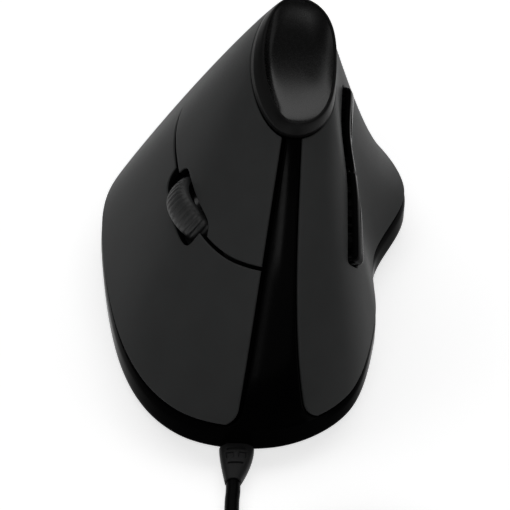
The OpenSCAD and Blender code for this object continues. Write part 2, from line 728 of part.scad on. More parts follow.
// The band is wide on the finger side and at the front, and narrow on the thumb side and at the rear.
bezel_mean = 0.63;
bezel_finger = 0.475;
bezel_front = 0.34;
function bezel_inset(a) = bezel_w * (bezel_mean + bezel_finger * cos(a) + bezel_front * sin(a));
function bezel_section(a) =
    let (w = bezel_inset(a))
    [[0, bezel_gap], [w, bezel_rise - bezel_edge], [w + bezel_edge, bezel_rise], [w + bezel_lip, bezel_rise],
        [w + bezel_lip, bezel_gap]];
module crown_bezel() color(BEZEL) {
    n = len(bezel_section(0));
    points = [for (k = [0:crown_steps - 1])
        let (a = -360 * k / crown_steps)
        for (q = bezel_section(a)) crown_point(a, q[0], q[1])];
    faces = [for (k = [0:crown_steps - 1]) for (i = [0:n - 1])
        let (next = (k + 1) % crown_steps * n, j = (i + 1) % n)
        each [[k * n + i, next + i, next + j], [k * n + i, next + j, k * n + j]]];
    polyhedron(points, faces);
}

dish_c = crown_c - bezel_w * (bezel_finger * crown_ex + bezel_front * crown_ey);
module crown_dish() {
    function dish_point(k, r, z) =
        let (a = 360 * k / crown_steps)
        mix(dish_c + z * crown_n, crown_point(a, bezel_inset(a) + bezel_lip + dish_fit, z), r);
    function depth(r) = bezel_rise - bezel_edge - dish_depth * (1 - r * r);
    tops = [for (j = [1:dish_rings]) for (k = [0:crown_steps - 1])
        let (r = j / dish_rings)
        dish_point(k, r, depth(r))];
    lows = [for (j = [1:dish_rings]) for (k = [0:crown_steps - 1])
        let (r = j / dish_rings)
        dish_point(k, r, depth(r) - dish_t)];
    m = dish_rings * crown_steps;
    bands = [for (j = [0:dish_rings - 2]) for (k = [0:crown_steps - 1])
        let (a = j * crown_steps + k, b = j * crown_steps + (k + 1) % crown_steps)
        let (c = b + crown_steps, d = a + crown_steps)
        each [[a, b, c], [a, c, d], [a + m, c + m, b + m], [a + m, d + m, c + m]]];
    rim = [for (k = [0:crown_steps - 1])
        let (a = m - crown_steps + k, b = m - crown_steps + (k + 1) % crown_steps)
        each [[a, b, b + m], [a, b + m, a + m]]];
    middle = [for (k = [0:crown_steps - 1])
        let (b = (k + 1) % crown_steps)
        each [[2 * m, b, k], [2 * m + 1, k + m, b + m]]];
    bottoms = [dish_point(0, 0, depth(0)), dish_point(0, 0, depth(0) - dish_t)];
    color(GLOSS) polyhedron(concat(tops, lows, bottoms), concat(bands, rim, middle));
}

// Base

module glide_shape(at, l, grow) {
    translate([at.x, at.y, 0]) linear_extrude(height = glide_t) stadium(l + 2 * grow, glide_w + 2 * grow);
}
module front_glide() color(WHITE) glide_shape(front_glide_at, front_glide_l, 0);
module rear_glide() color(WHITE) glide_shape(rear_glide_at, rear_glide_l, 0);

module bottom_plate() color(GLOSS) difference() {
    union() {
        translate([0, 0, plate_lift]) {
            linear_extrude(height = flange_plate_t) polygon(outline(flange_inset));
            linear_extrude(height = plate_t) polygon(outline(rim_inner_inset + plate_fit));
        }
        for (p = main_screw_places) translate([p.x, p.y, plate_lift])
            cylinder(h = standoff_z - plate_lift, r = standoff_r, $fn = small_fn);
    }
    translate([sensor_at.x, sensor_at.y, 0]) linear_extrude(height = plate_top + small)
        square(window, center = true);
    for (p = screw_places) translate([p.x, p.y, 0]) {
        cylinder(h = head_seat, r = head_r + head_gap, $fn = small_fn);
        cylinder(h = FAR, d = screw_d + 2 * pilot_fit, $fn = small_fn);
    }
    for (p = main_screw_places) translate([p.x, p.y, plate_lift + plate_t / 2 + FAR / 2]) board_hole();
    glide_shape(front_glide_at, front_glide_l, plate_fit);
    glide_shape(rear_glide_at, rear_glide_l, plate_fit);
    block([cable_x - neck_w / 2 - neck_fit, collar_y - collar_t - plate_fit, rim_low],
        [cable_x + neck_w / 2 + neck_fit, FAR, FAR]);
}

module housing_screws() color(STEEL) for (p = screw_places)
    translate([p.x, p.y, head_seat]) mirror(UP) screw(screw_d, screw_l, head_r, head_h);

// Main board

module main_board() color(BOARD) difference() {
    translate([main_board_at.x - main_board_w / 2, main_board_at.y - main_board_l / 2, standoff_z])
        cube([main_board_w, main_board_l, board_t]);
    for (p = main_screw_places) translate([p.x, p.y, 0]) board_hole();
    translate([sensor_at.x, sensor_at.y, 0]) cylinder(h = FAR, r = lens_r, $fn = round_fn);
}
module chip_block(at, size) { translate([at.x - size.x / 2, at.y - size.y / 2, main_board_top]) cube(size); }
module sensor_chip() color(CHIP) chip_block(sensor_at, chip);
module sensor_lens() color(WHITE) translate([sensor_at.x, sensor_at.y, plate_top]) union() {
    linear_extrude(height = lens_flange_t) square(lens_flange, center = true);
    translate([0, 0, -lens_drop]) cylinder(h = lens_drop + small, r = lens_r, $fn = round_fn);
}
module sensor_led() color(LAMP)
    translate([sensor_at.x, sensor_at.y + chip.y / 2 + led_gap, main_board_top + led_r])
        across(led_r, 0, led_l);
module controller_chip() color(CHIP) chip_block(controller_at, controller);
module cable_header() color(WHITE) chip_block([cable_x, header_y - header.y / 2], header);

// Finger side

module board_outline(inset) {
    x0 = board_x[0] + inset;
    y0 = board_y[0] + inset;
    x1 = board_x[1] - inset;
    y1 = board_y[1] - inset;
    polygon([[x0, y0], [x1, y0], [x1, board_cut.y - inset], [board_cut.x - inset, board_cut.y - inset],
        [board_cut.x - inset, y1], [x0, y1]]);
}
module finger_carrier() color(INNER) difference() {
    union() {
        in_finger() {
            translate([0, 0, carrier_z - carrier_t]) linear_extrude(height = carrier_t)
                board_outline(carrier_margin);
            for (p = finger_screw_places) translate([p[0], p[1], carrier_z - carrier_t / 2])
                cylinder(h = standoff_h + carrier_t / 2, r = standoff_r, $fn = small_fn);
            for (y = ear_places) {
                block([pin_x - ear_r, y, carrier_z - carrier_t / 2], [pin_x + ear_r, y + ear_t, pin_z]);
                translate([pin_x, 0, pin_z]) across(ear_r, y, y + ear_t);
            }
        }
        for (k = [0:2]) let (p = column_places[k]) intersection() {
            translate([p.x, p.y, plate_top])
                cylinder(h = crown_z, r = k < 2 ? column_r : prop_r, $fn = round_fn);
            in_finger() translate([-FAR / 2, -FAR / 2, carrier_z - carrier_t / 2 - FAR]) cube(FAR);
        }
    }
    in_finger() {
        block([-slot_half_l, -slot_half_w, -FAR / 2], [slot_half_l, slot_half_w, 0]);
        block([finger_ribbon_x - ribbon_w / 2 - ribbon_room, finger_ribbon_y - ribbon_room, -FAR / 2],
            [finger_ribbon_x + ribbon_w / 2 + ribbon_room, finger_ribbon_y + ribbon_room, 0]);
        translate([pin_x, 0, pin_z]) across(pin_d / 2 + pilot_fit, -FAR / 2, FAR / 2);
        for (p = finger_screw_places)
            translate([p[0], p[1], carrier_z - carrier_t - small + FAR / 2]) board_hole();
    }
    for (k = [0, 1]) post_pilot(column_places[k]);
}

module finger_board() color(BOARD) in_finger() difference() {
    translate([0, 0, board_z - board_t]) linear_extrude(height = board_t) board_outline(0);
    block([-slot_half_l, -slot_half_w, -FAR], [slot_half_l, slot_half_w, FAR]);
    for (y = ear_places)
        block([pin_x - ear_r - body_gap, y - body_gap, -FAR], [FAR, y + ear_t + body_gap, FAR]);
    for (p = finger_screw_places) translate([p[0], p[1], board_z]) board_hole();
}

module key_switch(at) {
    in_finger() translate([at.x, at.y, board_z])
        switch_body(switch_l, switch_w, switch_h, plunger_r, switch_shift);
}
module key_plunger(at) {
    in_finger() translate([at.x, at.y, board_z + switch_h]) plunger(plunger_r, plunger_proud);
}
module upper_switch() color(CHIP) key_switch(upper_post);
module lower_switch() color(CHIP) key_switch(lower_post);
module upper_plunger() color(WHITE) key_plunger(upper_post);
module lower_plunger() color(WHITE) key_plunger(lower_post);

// Scroll wheel

module at_wheel() { in_finger() translate([0, 0, -wheel_sink]) children(); }
hub_r = wheel_r - tread_t;
tread_fit = 0.05;
edge_r = 2;
hub_inset = 0.5;
hub_half = wheel_w / 2 - hub_inset;
hub_boss_r = axle_d / 2 + 2.2;
hub_web_r = [hub_boss_r + 0.8, hub_r - 1.5];
hub_dip = 1;
axle_end = 0.6;
axle_in_encoder = 3;
axle_y = [-arm_out - axle_end, encoder_y + axle_in_encoder];
// A rib and the groove after it: shares of the pitch and of the groove's depth
RIB = [[0, 0], [0.55, 0], [0.65, 1], [0.9, 1]];
module tread_profile() {
    half = wheel_w / 2;
    polygon(concat([[hub_r + tread_fit, -half]], corner_arc([wheel_r - edge_r, edge_r - half], edge_r, -90),
        corner_arc([wheel_r - edge_r, half - edge_r], edge_r, 0), [[hub_r + tread_fit, half]]));
}
module wheel_tyre() color(RUBBER) at_wheel() rotate([-90, 0, 0]) intersection() {
    rotate_extrude($fn = round_fn) tread_profile();
    linear_extrude(height = 2 * wheel_w, center = true)
        polygon([for (k = [0:rib_count - 1]) for (q = RIB)
            let (a = 360 * (k + q[0]) / rib_count, r = wheel_r - rib_depth * q[1])
            r * [cos(a), sin(a)]]);
}
module wheel_hub() color(GLOSS) at_wheel() rotate([-90, 0, 0]) rotate_extrude($fn = round_fn)
    polygon([[0, axle_y[0]], [axle_d / 2, axle_y[0]], [axle_d / 2, -hub_half], [hub_boss_r, -hub_half],
        [hub_web_r[0], hub_dip - hub_half], [hub_web_r[1], hub_dip - hub_half], [hub_r, -hub_half],
        [hub_r, hub_half], [hub_web_r[1], hub_half - hub_dip], [hub_web_r[0], hub_half - hub_dip],
        [hub_boss_r, hub_half], [axle_d / 2, hub_half], [axle_d / 2, axle_y[1]], [0, axle_y[1]]]);

// The cradle's arm, from the bar over its switch past the axle to the pin
arm_boss_w = 1.6;
arm_boss_r = axle_d / 2 + arm_boss_w;
arm_knee = [-6, 3.2];
pin_foot = 4;
module arm_profile() {
    polygon([[bar_x - bar_half, bar_z], [bar_x + bar_half, bar_z], [arm_knee.x, -wheel_sink - arm_knee.y],
        [pin_x - pin_foot, arm_low], [pin_x + ear_r, arm_low], [pin_x + ear_r, arm_top],
        [arm_boss_r, arm_boss_r - wheel_sink], [-arm_boss_r, arm_boss_r - wheel_sink],
        [bar_x + bar_half, bar_z + bar_t], [bar_x - bar_half, bar_z + bar_t]]);
}
module wheel_cradle() color(INNER) in_finger() difference() {
    union() {
        for (y = [arm_in, -arm_out]) translate([0, y + arm_t, 0]) rotate([90, 0, 0])
            linear_extrude(height = arm_t) arm_profile();
        block([bar_x - bar_half, -arm_out, bar_z], [bar_x + bar_half, arm_out, bar_z + bar_t]);
        block([pin_x - ear_r / 2, -arm_out, arm_low], [pin_x + ear_r, arm_out, arm_top]);
    }
    translate([0, 0, -wheel_sink]) across(axle_d / 2 + run_fit, -FAR / 2, FAR / 2);
    translate([pin_x, 0, pin_z]) across(pin_d / 2 + run_fit, -FAR / 2, FAR / 2);
}
module cradle_pin() color(STEEL) in_finger()
    translate([pin_x, 0, pin_z]) across(pin_d / 2, -ear_out, ear_out);
module wheel_encoder() color(CHIP) in_finger() difference() {
    block([-encoder_l / 2, encoder_y, board_z], [encoder_l / 2, encoder_y + encoder_w, encoder_top]);
    translate([0, 0, -wheel_sink]) across(encoder_bore_r, -FAR / 2, FAR / 2);
}
module wheel_switch() color(CHIP) in_finger()
    translate([bar_x, 0, board_z]) switch_body(tact_w, tact_w, tact_h, tact_r);
module wheel_plunger() color(WHITE) in_finger()
    translate([bar_x, 0, board_z + tact_h]) plunger(tact_r, tact_proud);

// Thumb side

module thumb_board() color(BOARD) in_thumb() difference() {
    block([boss_places[1].x - thumb_board_end, -thumb_board_w / 2, thumb_board_z - board_t],
        [boss_places[0].x + thumb_board_end, thumb_board_w / 2, thumb_board_z]);
    for (p = boss_places) translate([p.x, p.y, thumb_board_z]) board_hole();
}
module thumb_switch(x) {
    in_thumb() translate([x, strip_y(x), thumb_board_z]) switch_body(tact_w, tact_w, tact_h, tact_r);
}
module thumb_plunger(x) {
    in_thumb() translate([x, strip_y(x), thumb_board_z + tact_h]) plunger(tact_r, tact_proud);
}
module thumb_switch_rear() color(CHIP) thumb_switch(thumb_switch_x);
module thumb_switch_front() color(CHIP) thumb_switch(-thumb_switch_x);
module thumb_plunger_rear() color(WHITE) thumb_plunger(thumb_switch_x);
module thumb_plunger_front() color(WHITE) thumb_plunger(-thumb_switch_x);

// Flat cables between the boards, and the board screws

ribbon_w = 8;
ribbon_t = 0.4;
ribbon_steps = 10;
ribbon_gap = 0.15;
RIBBON_CORNERS = [[-1, -1], [1, -1], [1, 1], [-1, 1]];
function bend(a, b, c, d, t) =
    pow(1 - t, 3) * a + 3 * pow(1 - t, 2) * t * b + 3 * (1 - t) * t * t * c + pow(t, 3) * d;
module ribbon(a, b, c, d, side) {
    path = [for (k = [0:ribbon_steps]) bend(a, b, c, d, k / ribbon_steps)];
    points = [for (k = [0:ribbon_steps])
        let (t = along(path, k), n = unit(cross(side, t)))
        for (q = RIBBON_CORNERS)
            path[k] + q[0] * ribbon_w / 2 * side + q[1] * ribbon_t / 2 * n];
    polyhedron(points, tube_faces(ribbon_steps + 1, len(RIBBON_CORNERS)));
}
ribbon_room = 1.2;
// Where each flat cable meets the main board, from the board's side edge and along it
ribbon_inset = 6;
finger_ribbon_foot_y = -12;
thumb_ribbon_foot_y = 4;
finger_ribbon_x = -6;
finger_ribbon_edge = 5;
finger_ribbon_y = board_y[0] + finger_ribbon_edge;
finger_ribbon_z = board_z - board_t - ribbon_gap;
finger_ribbon_end = to_world(finger_frame, [finger_ribbon_x, finger_ribbon_y, finger_ribbon_z]);
ribbon_foot_z = main_board_top + ribbon_gap;
ribbon_reach = main_board_w / 2 - ribbon_inset;
finger_ribbon_at = [main_board_at.x + ribbon_reach, finger_ribbon_foot_y, ribbon_foot_z];
thumb_ribbon_end = to_world(thumb_frame, [0, 0, thumb_board_z - board_t - ribbon_gap]);
thumb_ribbon_at = [main_board_at.x - ribbon_reach, thumb_ribbon_foot_y, ribbon_foot_z];
ribbon_pull = 10;
module finger_ribbon() color(WHITE) ribbon(finger_ribbon_at, finger_ribbon_at + ribbon_pull * UP,
    finger_ribbon_end - ribbon_pull * column_of(finger_frame, 2), finger_ribbon_end,
    unit(cross(UP, column_of(finger_frame, 2))));
module thumb_ribbon() color(WHITE) ribbon(thumb_ribbon_at, thumb_ribbon_at + ribbon_pull * UP,
    thumb_ribbon_end - ribbon_pull * thumb_out, thumb_ribbon_end, unit(cross(UP, thumb_out)));

board_screw_l = 2.6;
board_head_r = 1.8;
board_head_h = 1.1;
module board_screw(l) { screw(board_screw_d, l, board_head_r, board_head_h); }
module board_screws() color(STEEL) {
    in_finger() for (p = finger_screw_places)
        translate([p[0], p[1], board_z]) board_screw(board_screw_l + board_t);
    in_thumb() for (p = boss_places)
        translate([p.x, p.y, thumb_board_z - board_t]) mirror(UP) board_screw(board_screw_l + board_t);
    for (p = main_screw_places) translate([p.x, p.y, main_board_top]) board_screw(board_screw_l);
}

// Cable

relief_sides = 16;
relief_rings = 16;
relief_tip_wall = 0.4;
relief_tip_z = 1.9;
relief_ease = 1.6;
groove_depth = 0.35;
groove_count = 3;
groove_span = [0.15, 0.9];
groove_level = -0.3;
function relief_w_at(t) = mix(relief_w, cable_d + 2 * relief_tip_wall, pow(t, relief_ease));
function groove(t) =
    let (q = (t - groove_span[0]) / (groove_span[1] - groove_span[0]))
    q > 0 && q < 1 && cos(360 * groove_count * q) < groove_level ? groove_depth : 0;
module strain_relief() color(RUBBER) union() {
    points = [for (k = [0:relief_rings])
        let (t = k / relief_rings, w = relief_w_at(t) / 2 - groove(t))
        let (h = mix(relief_h, cable_d + relief_tip_wall, t) / 2 - groove(t))
        let (y = mix(relief_start, relief_end, t))
        let (c = [mix(cable_x, LEAD[0].x, t), y, mix(relief_z, relief_tip_z, t)])
        for (i = [0:relief_sides - 1])
            let (a = 360 * i / relief_sides)
            c + [w * cos(a), 0, h * sin(a)]];
    polyhedron(points, tube_faces(relief_rings + 1, relief_sides));
    block([cable_x - neck_w / 2, collar_y - collar_t, neck_low],
        [cable_x + neck_w / 2, relief_start + neck_root, neck_low + neck_h]);
    block([cable_x - collar_w / 2, collar_y - collar_t, plate_top + plate_fit],
        [cable_x + collar_w / 2, collar_y, inner_z + cable_d / 2]);
}
// The lead inside keeps clear of the carrier's front column.
lead_straight = 4;
lead_clear = 0.7;
lead_x = min(cable_x, column_places[0].x - column_r - cable_d / 2 - lead_clear);
inner_path = [[cable_x, collar_y - collar_t, inner_z], [lead_x, collar_y - collar_t - lead_straight, inner_z],
    [lead_x, mix(collar_y, header_y, 0.5), mix(inner_z, header_z, 0.5)],
    [lead_x, header_y + lead_straight, header_z], [cable_x, header_y, header_z]];
module inner_lead() color(GLOSS) tube(inner_path, cable_d, lead_sides);

// The coil spirals in on the table, climbs in the half turn where it reverses, and spirals out on top.
coil_end_turn = 2 * coil_turns;
climb_turns = 0.5;
coil_turn_back = coil_turns - climb_turns / 2;
function coil_r(q) = coil_out_r - coil_step * min(q, 2 * coil_turn_back - q);
function coil_climb(q) = (q - coil_turns + climb_turns) / climb_turns;
function coil_z(q) = mix(coil_low_z, coil_high_z, min(1, max(0, coil_climb(q))));
function coil_point(q) =
    let (r = coil_r(q))
    [coil_c.x + r * cos(360 * q), coil_c.y + r * sin(360 * q), coil_z(q)];
coil_path = [for (k = [0:coil_end_turn * loop_rings]) coil_point(k / loop_rings)];
coil_start = coil_point(0);
coil_end = coil_point(coil_end_turn);
lead_path = concat([[LEAD[0].x, relief_end, LEAD[0].z]], LEAD, [coil_start - [0, cable_d, 0], coil_start]);
tail_path = concat([coil_end, coil_end + [0, cable_d, 0]], TAIL, [plug_at]);
module cable_lead() color(GLOSS) tube(lead_path, cable_d, lead_sides);
module cable_tail() color(GLOSS) tube(tail_path, cable_d, lead_sides);
module cable_coil() color(GLOSS) {
    apart = floor(loop_rings / 2);
    last = len(coil_path) - 1;
    gaps = [for (i = [0:last - apart]) min([for (j = [i + apart:last]) norm(coil_path[i] - coil_path[j])])];
    echo(coil_least_gap = min(gaps) - cable_d, coil_loops = coil_end_turn);
    tube(coil_path, cable_d, coil_sides);
}
module cable_tie() color(RUBBER) {
    r0 = coil_r(coil_turn_back) - cable_d / 2 - tie_fit;
    r1 = coil_r(coil_end_turn) + cable_d / 2 + tie_fit;
    z0 = coil_low_z - cable_d / 2 - tie_fit;
    z1 = coil_high_z + cable_d / 2 + tie_fit;
    translate([coil_c.x, coil_c.y, 0]) rotate([0, 0, tie_angle]) translate([0, -tie_w / 2, 0]) difference() {
        block([r0 - tie_t, 0, z0 - tie_t], [r1 + tie_t, tie_w, z1 + tie_t]);
        block([r0, -small, z0], [r1, tie_w + small, z1]);
    }
}

// Plug, lying on the table and pointing to -X

module at_plug() { translate(plug_at) rotate([0, 0, 180]) children(); }
module rounded_bar(l, w, h, r) {
    rotate([90, 0, 90]) linear_extrude(height = l) union() {
        square([w, h - 2 * r], center = true);
        square([w - 2 * r, h], center = true);
        for (x = [-1, 1]) for (y = [-1, 1])
            translate([x * (w / 2 - r), y * (h / 2 - r)]) circle(r = r, $fn = small_fn);
    }
}
plug_neck_l = 4;
plug_neck_r = 2.6;
overmould_r = 2;
module usb_overmould() color(GLOSS) at_plug() difference() {
    union() {
        rotate([0, 90, 0]) cylinder(h = plug_neck_l + overmould_r, r = plug_neck_r, $fn = round_fn);
        translate([plug_neck_l, 0, 0])
            rounded_bar(overmould_l - plug_neck_l, overmould_w, overmould_h, overmould_r);
    }
    translate([overmould_l - shell_sunk, -shell_w / 2, -shell_h / 2]) cube([FAR, shell_w, shell_h]);
}
module usb_shell() color(STEEL) at_plug() translate([overmould_l - shell_sunk, 0, 0]) difference() {
    translate([0, -shell_w / 2, -shell_h / 2]) cube([shell_sunk + shell_out_l, shell_w, shell_h]);
    translate([shell_t, -shell_w / 2 + shell_t, -shell_h / 2 + shell_t])
        cube([FAR, shell_w - 2 * shell_t, shell_h - 2 * shell_t]);
    for (y = [-usb_hole_y, usb_hole_y]) translate([shell_sunk + usb_hole_x + usb_hole / 2, y, 0])
        cube([usb_hole, usb_hole, FAR], center = true);
}
tongue_l = shell_sunk + shell_out_l - shell_t - tongue_back;
tongue_w = shell_w - 2 * shell_t - 2 * tongue_fit;
module usb_tongue() color(WHITE) at_plug()
    translate([overmould_l - shell_sunk + shell_t, -tongue_w / 2, -shell_h / 2 + shell_t])
        cube([tongue_l, tongue_w, tongue_t]);

// Places of the joints, for whoever sets them up
upper_hinge = [under(hinge_u, slit(hinge_u), shell_wall / 2), under(hinge_u, top_v, shell_wall / 2)];
lower_hinge = [under(hinge_u, 0, shell_wall / 2), upper_hinge[0]];
echo(finger_frame = finger_frame);
echo(thumb_frame = thumb_frame);
echo(upper_hinge = upper_hinge, lower_hinge = lower_hinge);
echo(upper_tip = to_world(finger_frame, [upper_post.x, upper_post.y, post_z]));
echo(lower_tip = to_world(finger_frame, [lower_post.x, lower_post.y, post_z]));
echo(wheel_centre = to_world(finger_frame, [0, 0, -wheel_sink]));
echo(cradle_pin = to_world(finger_frame, [pin_x, 0, pin_z]), bar = [bar_x, bar_z, pin_x, pin_z]);

base_frame();
palm_shell();
upper_key();
lower_key();
thumb_shell();
crown_bezel();
crown_dish();
thumb_key_rear();
thumb_key_front();
bottom_plate();
front_glide();
rear_glide();
housing_screws();
main_board();
sensor_chip();
sensor_lens();
sensor_led();
controller_chip();
cable_header();
finger_carrier();
finger_board();
upper_switch();
upper_plunger();
lower_switch();
lower_plunger();
wheel_tyre();
wheel_hub();
wheel_cradle();
cradle_pin();
wheel_encoder();
wheel_switch();
wheel_plunger();
thumb_board();
thumb_switch_rear();
thumb_plunger_rear();
thumb_switch_front();
thumb_plunger_front();
finger_ribbon();
thumb_ribbon();
board_screws();
strain_relief();
inner_lead();
cable_lead();
cable_coil();
cable_tie();
cable_tail();
usb_overmould();
usb_shell();
usb_tongue();
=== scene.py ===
import math

import bpy
import numpy as np
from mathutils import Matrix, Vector
from mathutils.geometry import delaunay_2d_cdt


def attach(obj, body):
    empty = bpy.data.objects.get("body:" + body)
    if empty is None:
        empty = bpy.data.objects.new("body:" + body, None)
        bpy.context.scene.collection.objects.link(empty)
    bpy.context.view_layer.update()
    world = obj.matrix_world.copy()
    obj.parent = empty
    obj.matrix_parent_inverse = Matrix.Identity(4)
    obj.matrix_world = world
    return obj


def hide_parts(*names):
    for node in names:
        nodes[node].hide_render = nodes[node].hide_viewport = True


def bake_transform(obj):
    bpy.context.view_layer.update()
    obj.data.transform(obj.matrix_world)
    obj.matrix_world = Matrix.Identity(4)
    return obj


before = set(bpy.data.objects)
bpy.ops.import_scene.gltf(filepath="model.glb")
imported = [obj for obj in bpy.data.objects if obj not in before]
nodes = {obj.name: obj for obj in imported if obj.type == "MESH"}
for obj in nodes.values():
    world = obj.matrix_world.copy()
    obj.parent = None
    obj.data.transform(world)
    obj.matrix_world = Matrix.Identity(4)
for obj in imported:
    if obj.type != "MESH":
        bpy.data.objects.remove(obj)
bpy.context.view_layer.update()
scene = bpy.context.scene
scene.view_settings.view_transform = "Standard"
MM = 0.001

# Camera at the photograph's angle
CAMERA_DROP = 43.8  # degrees below the horizon
cam_data = bpy.data.cameras.new("camera")
cam_data.sensor_width = 36
cam_data.lens = 119.8
camera = bpy.data.objects.new("camera", cam_data)
camera.location = (0, 0.3023, 0.2957)
camera.rotation_euler = (math.radians(90 - CAMERA_DROP), 0, math.radians(180))
scene.collection.objects.link(camera)
scene.camera = camera

# Materials
BUMP_REACH = 0.0001
LEAST_ROUGH = 0.02


def material(name, color, rough, spec=0.5, metal=0.0, grain=0.1, grain_size=0.3, shift=0.12,
             shift_size=9.0, rough_shift=0.06, waves=None):
    """The colour drifts by shift over shift_size mm, and the shine and the surface have grain of grain_size mm.

    waves replaces the surface's grain by ribs: their direction, scale and distortion.
    """
    mat = bpy.data.materials.new(name)
    mat.use_nodes = True
    tree_nodes, links = mat.node_tree.nodes, mat.node_tree.links
    shader = tree_nodes["Principled BSDF"]
    shader.inputs["Metallic"].default_value = metal
    shader.inputs["Specular IOR Level"].default_value = spec
    place = tree_nodes.new("ShaderNodeTexCoord")

    def noise(size, detail):
        node = tree_nodes.new("ShaderNodeTexNoise")
        node.inputs["Scale"].default_value = 1 / (size * MM)
        node.inputs["Detail"].default_value = detail
        links.new(place.outputs["Object"], node.inputs["Vector"])
        return node.outputs["Fac"]

    ramp = tree_nodes.new("ShaderNodeMix")
    ramp.data_type = "RGBA"
    ramp.inputs["A"].default_value = [c * (1 - shift) for c in color] + [1]
    ramp.inputs["B"].default_value = [min(1, c * (1 + shift)) for c in color] + [1]
    links.new(noise(shift_size, 4), ramp.inputs["Factor"])
    links.new(ramp.outputs["Result"], shader.inputs["Base Color"])
    height = noise(grain_size, 3)
    span = tree_nodes.new("ShaderNodeMapRange")
    span.inputs["From Min"].default_value = 0.3
    span.inputs["From Max"].default_value = 0.7
    span.inputs["To Min"].default_value = max(LEAST_ROUGH, rough - rough_shift)
    span.inputs["To Max"].default_value = min(1, rough + rough_shift)
    links.new(height, span.inputs["Value"])
    links.new(span.outputs["Result"], shader.inputs["Roughness"])
    if waves:
        wave = tree_nodes.new("ShaderNodeTexWave")
        wave.bands_direction, wave.inputs["Scale"].default_value, wave.inputs["Distortion"].default_value = waves
        links.new(place.outputs["Object"], wave.inputs["Vector"])
        height = wave.outputs["Fac"]
    bump = tree_nodes.new("ShaderNodeBump")
    bump.inputs["Strength"].default_value = grain
    bump.inputs["Distance"].default_value = BUMP_REACH
    links.new(height, bump.inputs["Height"])
    links.new(bump.outputs["Normal"], shader.inputs["Normal"])
    return mat


# The photograph's black pieces show almost no reflection of the white round them, so their shine is low.
JET = (0.0012, 0.0012, 0.0013)
MATTE = material("matte_shell", (0.044, 0.045, 0.045), 0.48, spec=0.05, grain=0.22, grain_size=0.22)
# Painted shade: a near-black colour for the panels' walls inside the gaps and the slit, which are really the same
# plastic as the skin.
GAP_SHADE = material("painted_gap_shade", (0.003, 0.003, 0.003), 0.6, spec=0.05, grain=0.1, grain_size=0.3)
GLOSS = material("gloss_frame", JET, 0.14, spec=0.0015, grain=0.02, grain_size=0.8, rough_shift=0.03)
SPINE = material("gloss_spine", JET, 0.14, spec=0.014, grain=0.02, grain_size=0.8, rough_shift=0.03)
STRIP = material("thumb_key", (0.0015, 0.0015, 0.0016), 0.14, spec=0.02, grain=0.03, grain_size=0.6,
                 rough_shift=0.03)
RING = material("crown_ring", (0.006, 0.006, 0.006), 0.40, spec=0.1, grain=0.10, grain_size=0.25)
DISH = material("crown_gloss", (0.0008, 0.0008, 0.0008), 0.27, spec=0.5, grain=0.006, grain_size=0.8,
                rough_shift=0.015)
PLATE = material("base_plate", (0.010, 0.010, 0.011), 0.55, grain=0.3, grain_size=0.35)
GLIDE = material("glide", (0.62, 0.61, 0.58), 0.42, grain=0.1, grain_size=0.4, shift=0.05)
SCREW = material("screw", (0.55, 0.56, 0.57), 0.30, metal=1.0, grain=0.1, grain_size=0.15)
BOARD = material("circuit_board", (0.004, 0.010, 0.006), 0.38, grain=0.2, grain_size=0.5, shift=0.25,
                 shift_size=2.0)
CHIP = material("chip", (0.016, 0.017, 0.018), 0.50, grain=0.2, grain_size=0.12)
LENS = material("lens", (0.75, 0.77, 0.78), 0.08, grain=0.02, grain_size=0.8, shift=0.03, rough_shift=0.03)
LAMP = material("lamp", (0.55, 0.02, 0.02), 0.12, grain=0.02, grain_size=0.6, rough_shift=0.04)
LINK = material("connector", (0.72, 0.70, 0.64), 0.45, grain=0.1, grain_size=0.3, shift=0.05)
INNER = material("inner_plastic", (0.02, 0.021, 0.022), 0.50, grain=0.2, grain_size=0.3)
SWITCH = material("switch_body", (0.018, 0.018, 0.02), 0.42, grain=0.15, grain_size=0.2)
PLUNGER = material("plunger", (0.70, 0.68, 0.62), 0.36, grain=0.08, grain_size=0.2, shift=0.05)
TREAD = material("tread", (0.011, 0.0115, 0.0115), 0.52, grain=0.25, grain_size=0.18)
CORE = material("wheel_core", (0.006, 0.006, 0.0065), 0.3, grain=0.06, grain_size=0.4)
RIBBON = material("flat_cable", (0.62, 0.62, 0.60), 0.38, grain=0.3, waves=("X", 700, 0.0), shift=0.05)
RELIEF = material("relief", (0.010, 0.010, 0.0105), 0.50, spec=0.2, grain=0.25, grain_size=0.2)
CABLE = material("cable", JET, 0.40, spec=0.03, grain=0.15, grain_size=0.25)
TIE = material("tie", (0.010, 0.010, 0.010), 0.34, grain=0.2, waves=("Z", 500, 0.2))
GRIP = material("plug_grip", (0.008, 0.008, 0.0085), 0.44, grain=0.22, grain_size=0.25)
STEEL = material("plug_metal", (0.60, 0.60, 0.59), 0.24, metal=1.0, grain=0.1, waves=("Y", 900, 1.5), shift=0.06)


# Making pieces

def keep(mat, slot_name, *names):
    """CAD nodes whose solids stay, with a better material."""
    for name in names:
        node = nodes[name]
        node.data.materials.clear()
        node.data.materials.append(mat)


def add(name, verts, faces, mat, slot_name, stands_for, body="housing"):
    """A new piece, from points in millimetres, that stands for these CAD nodes and rides on body."""
    mesh = bpy.data.meshes.new(name)
    mesh.from_pydata((np.asarray(verts) * MM).tolist(), [], [tuple(int(k) for k in f) for f in faces])
    mesh.polygons.foreach_set("use_smooth", [True] * len(mesh.polygons))
    mesh.update()
    piece = bpy.data.objects.new(name, mesh)
    scene.collection.objects.link(piece)
    mesh.materials.append(mat)
    if body:
        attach(piece, body)
    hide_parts(*stands_for)
    return piece


def paint_gap_shade(piece):
    """The walls between a panel's skin and its back, which show only in the gaps between panels, carry painted
    shade: the same plastic as the skin, coloured near black because the gaps lie in shade.
    """
    mesh = piece.data
    mesh.materials.append(GAP_SHADE)
    half = len(mesh.vertices) // 2
    for face in mesh.polygons:
        if min(face.vertices) < half <= max(face.vertices):
            face.material_index = 1


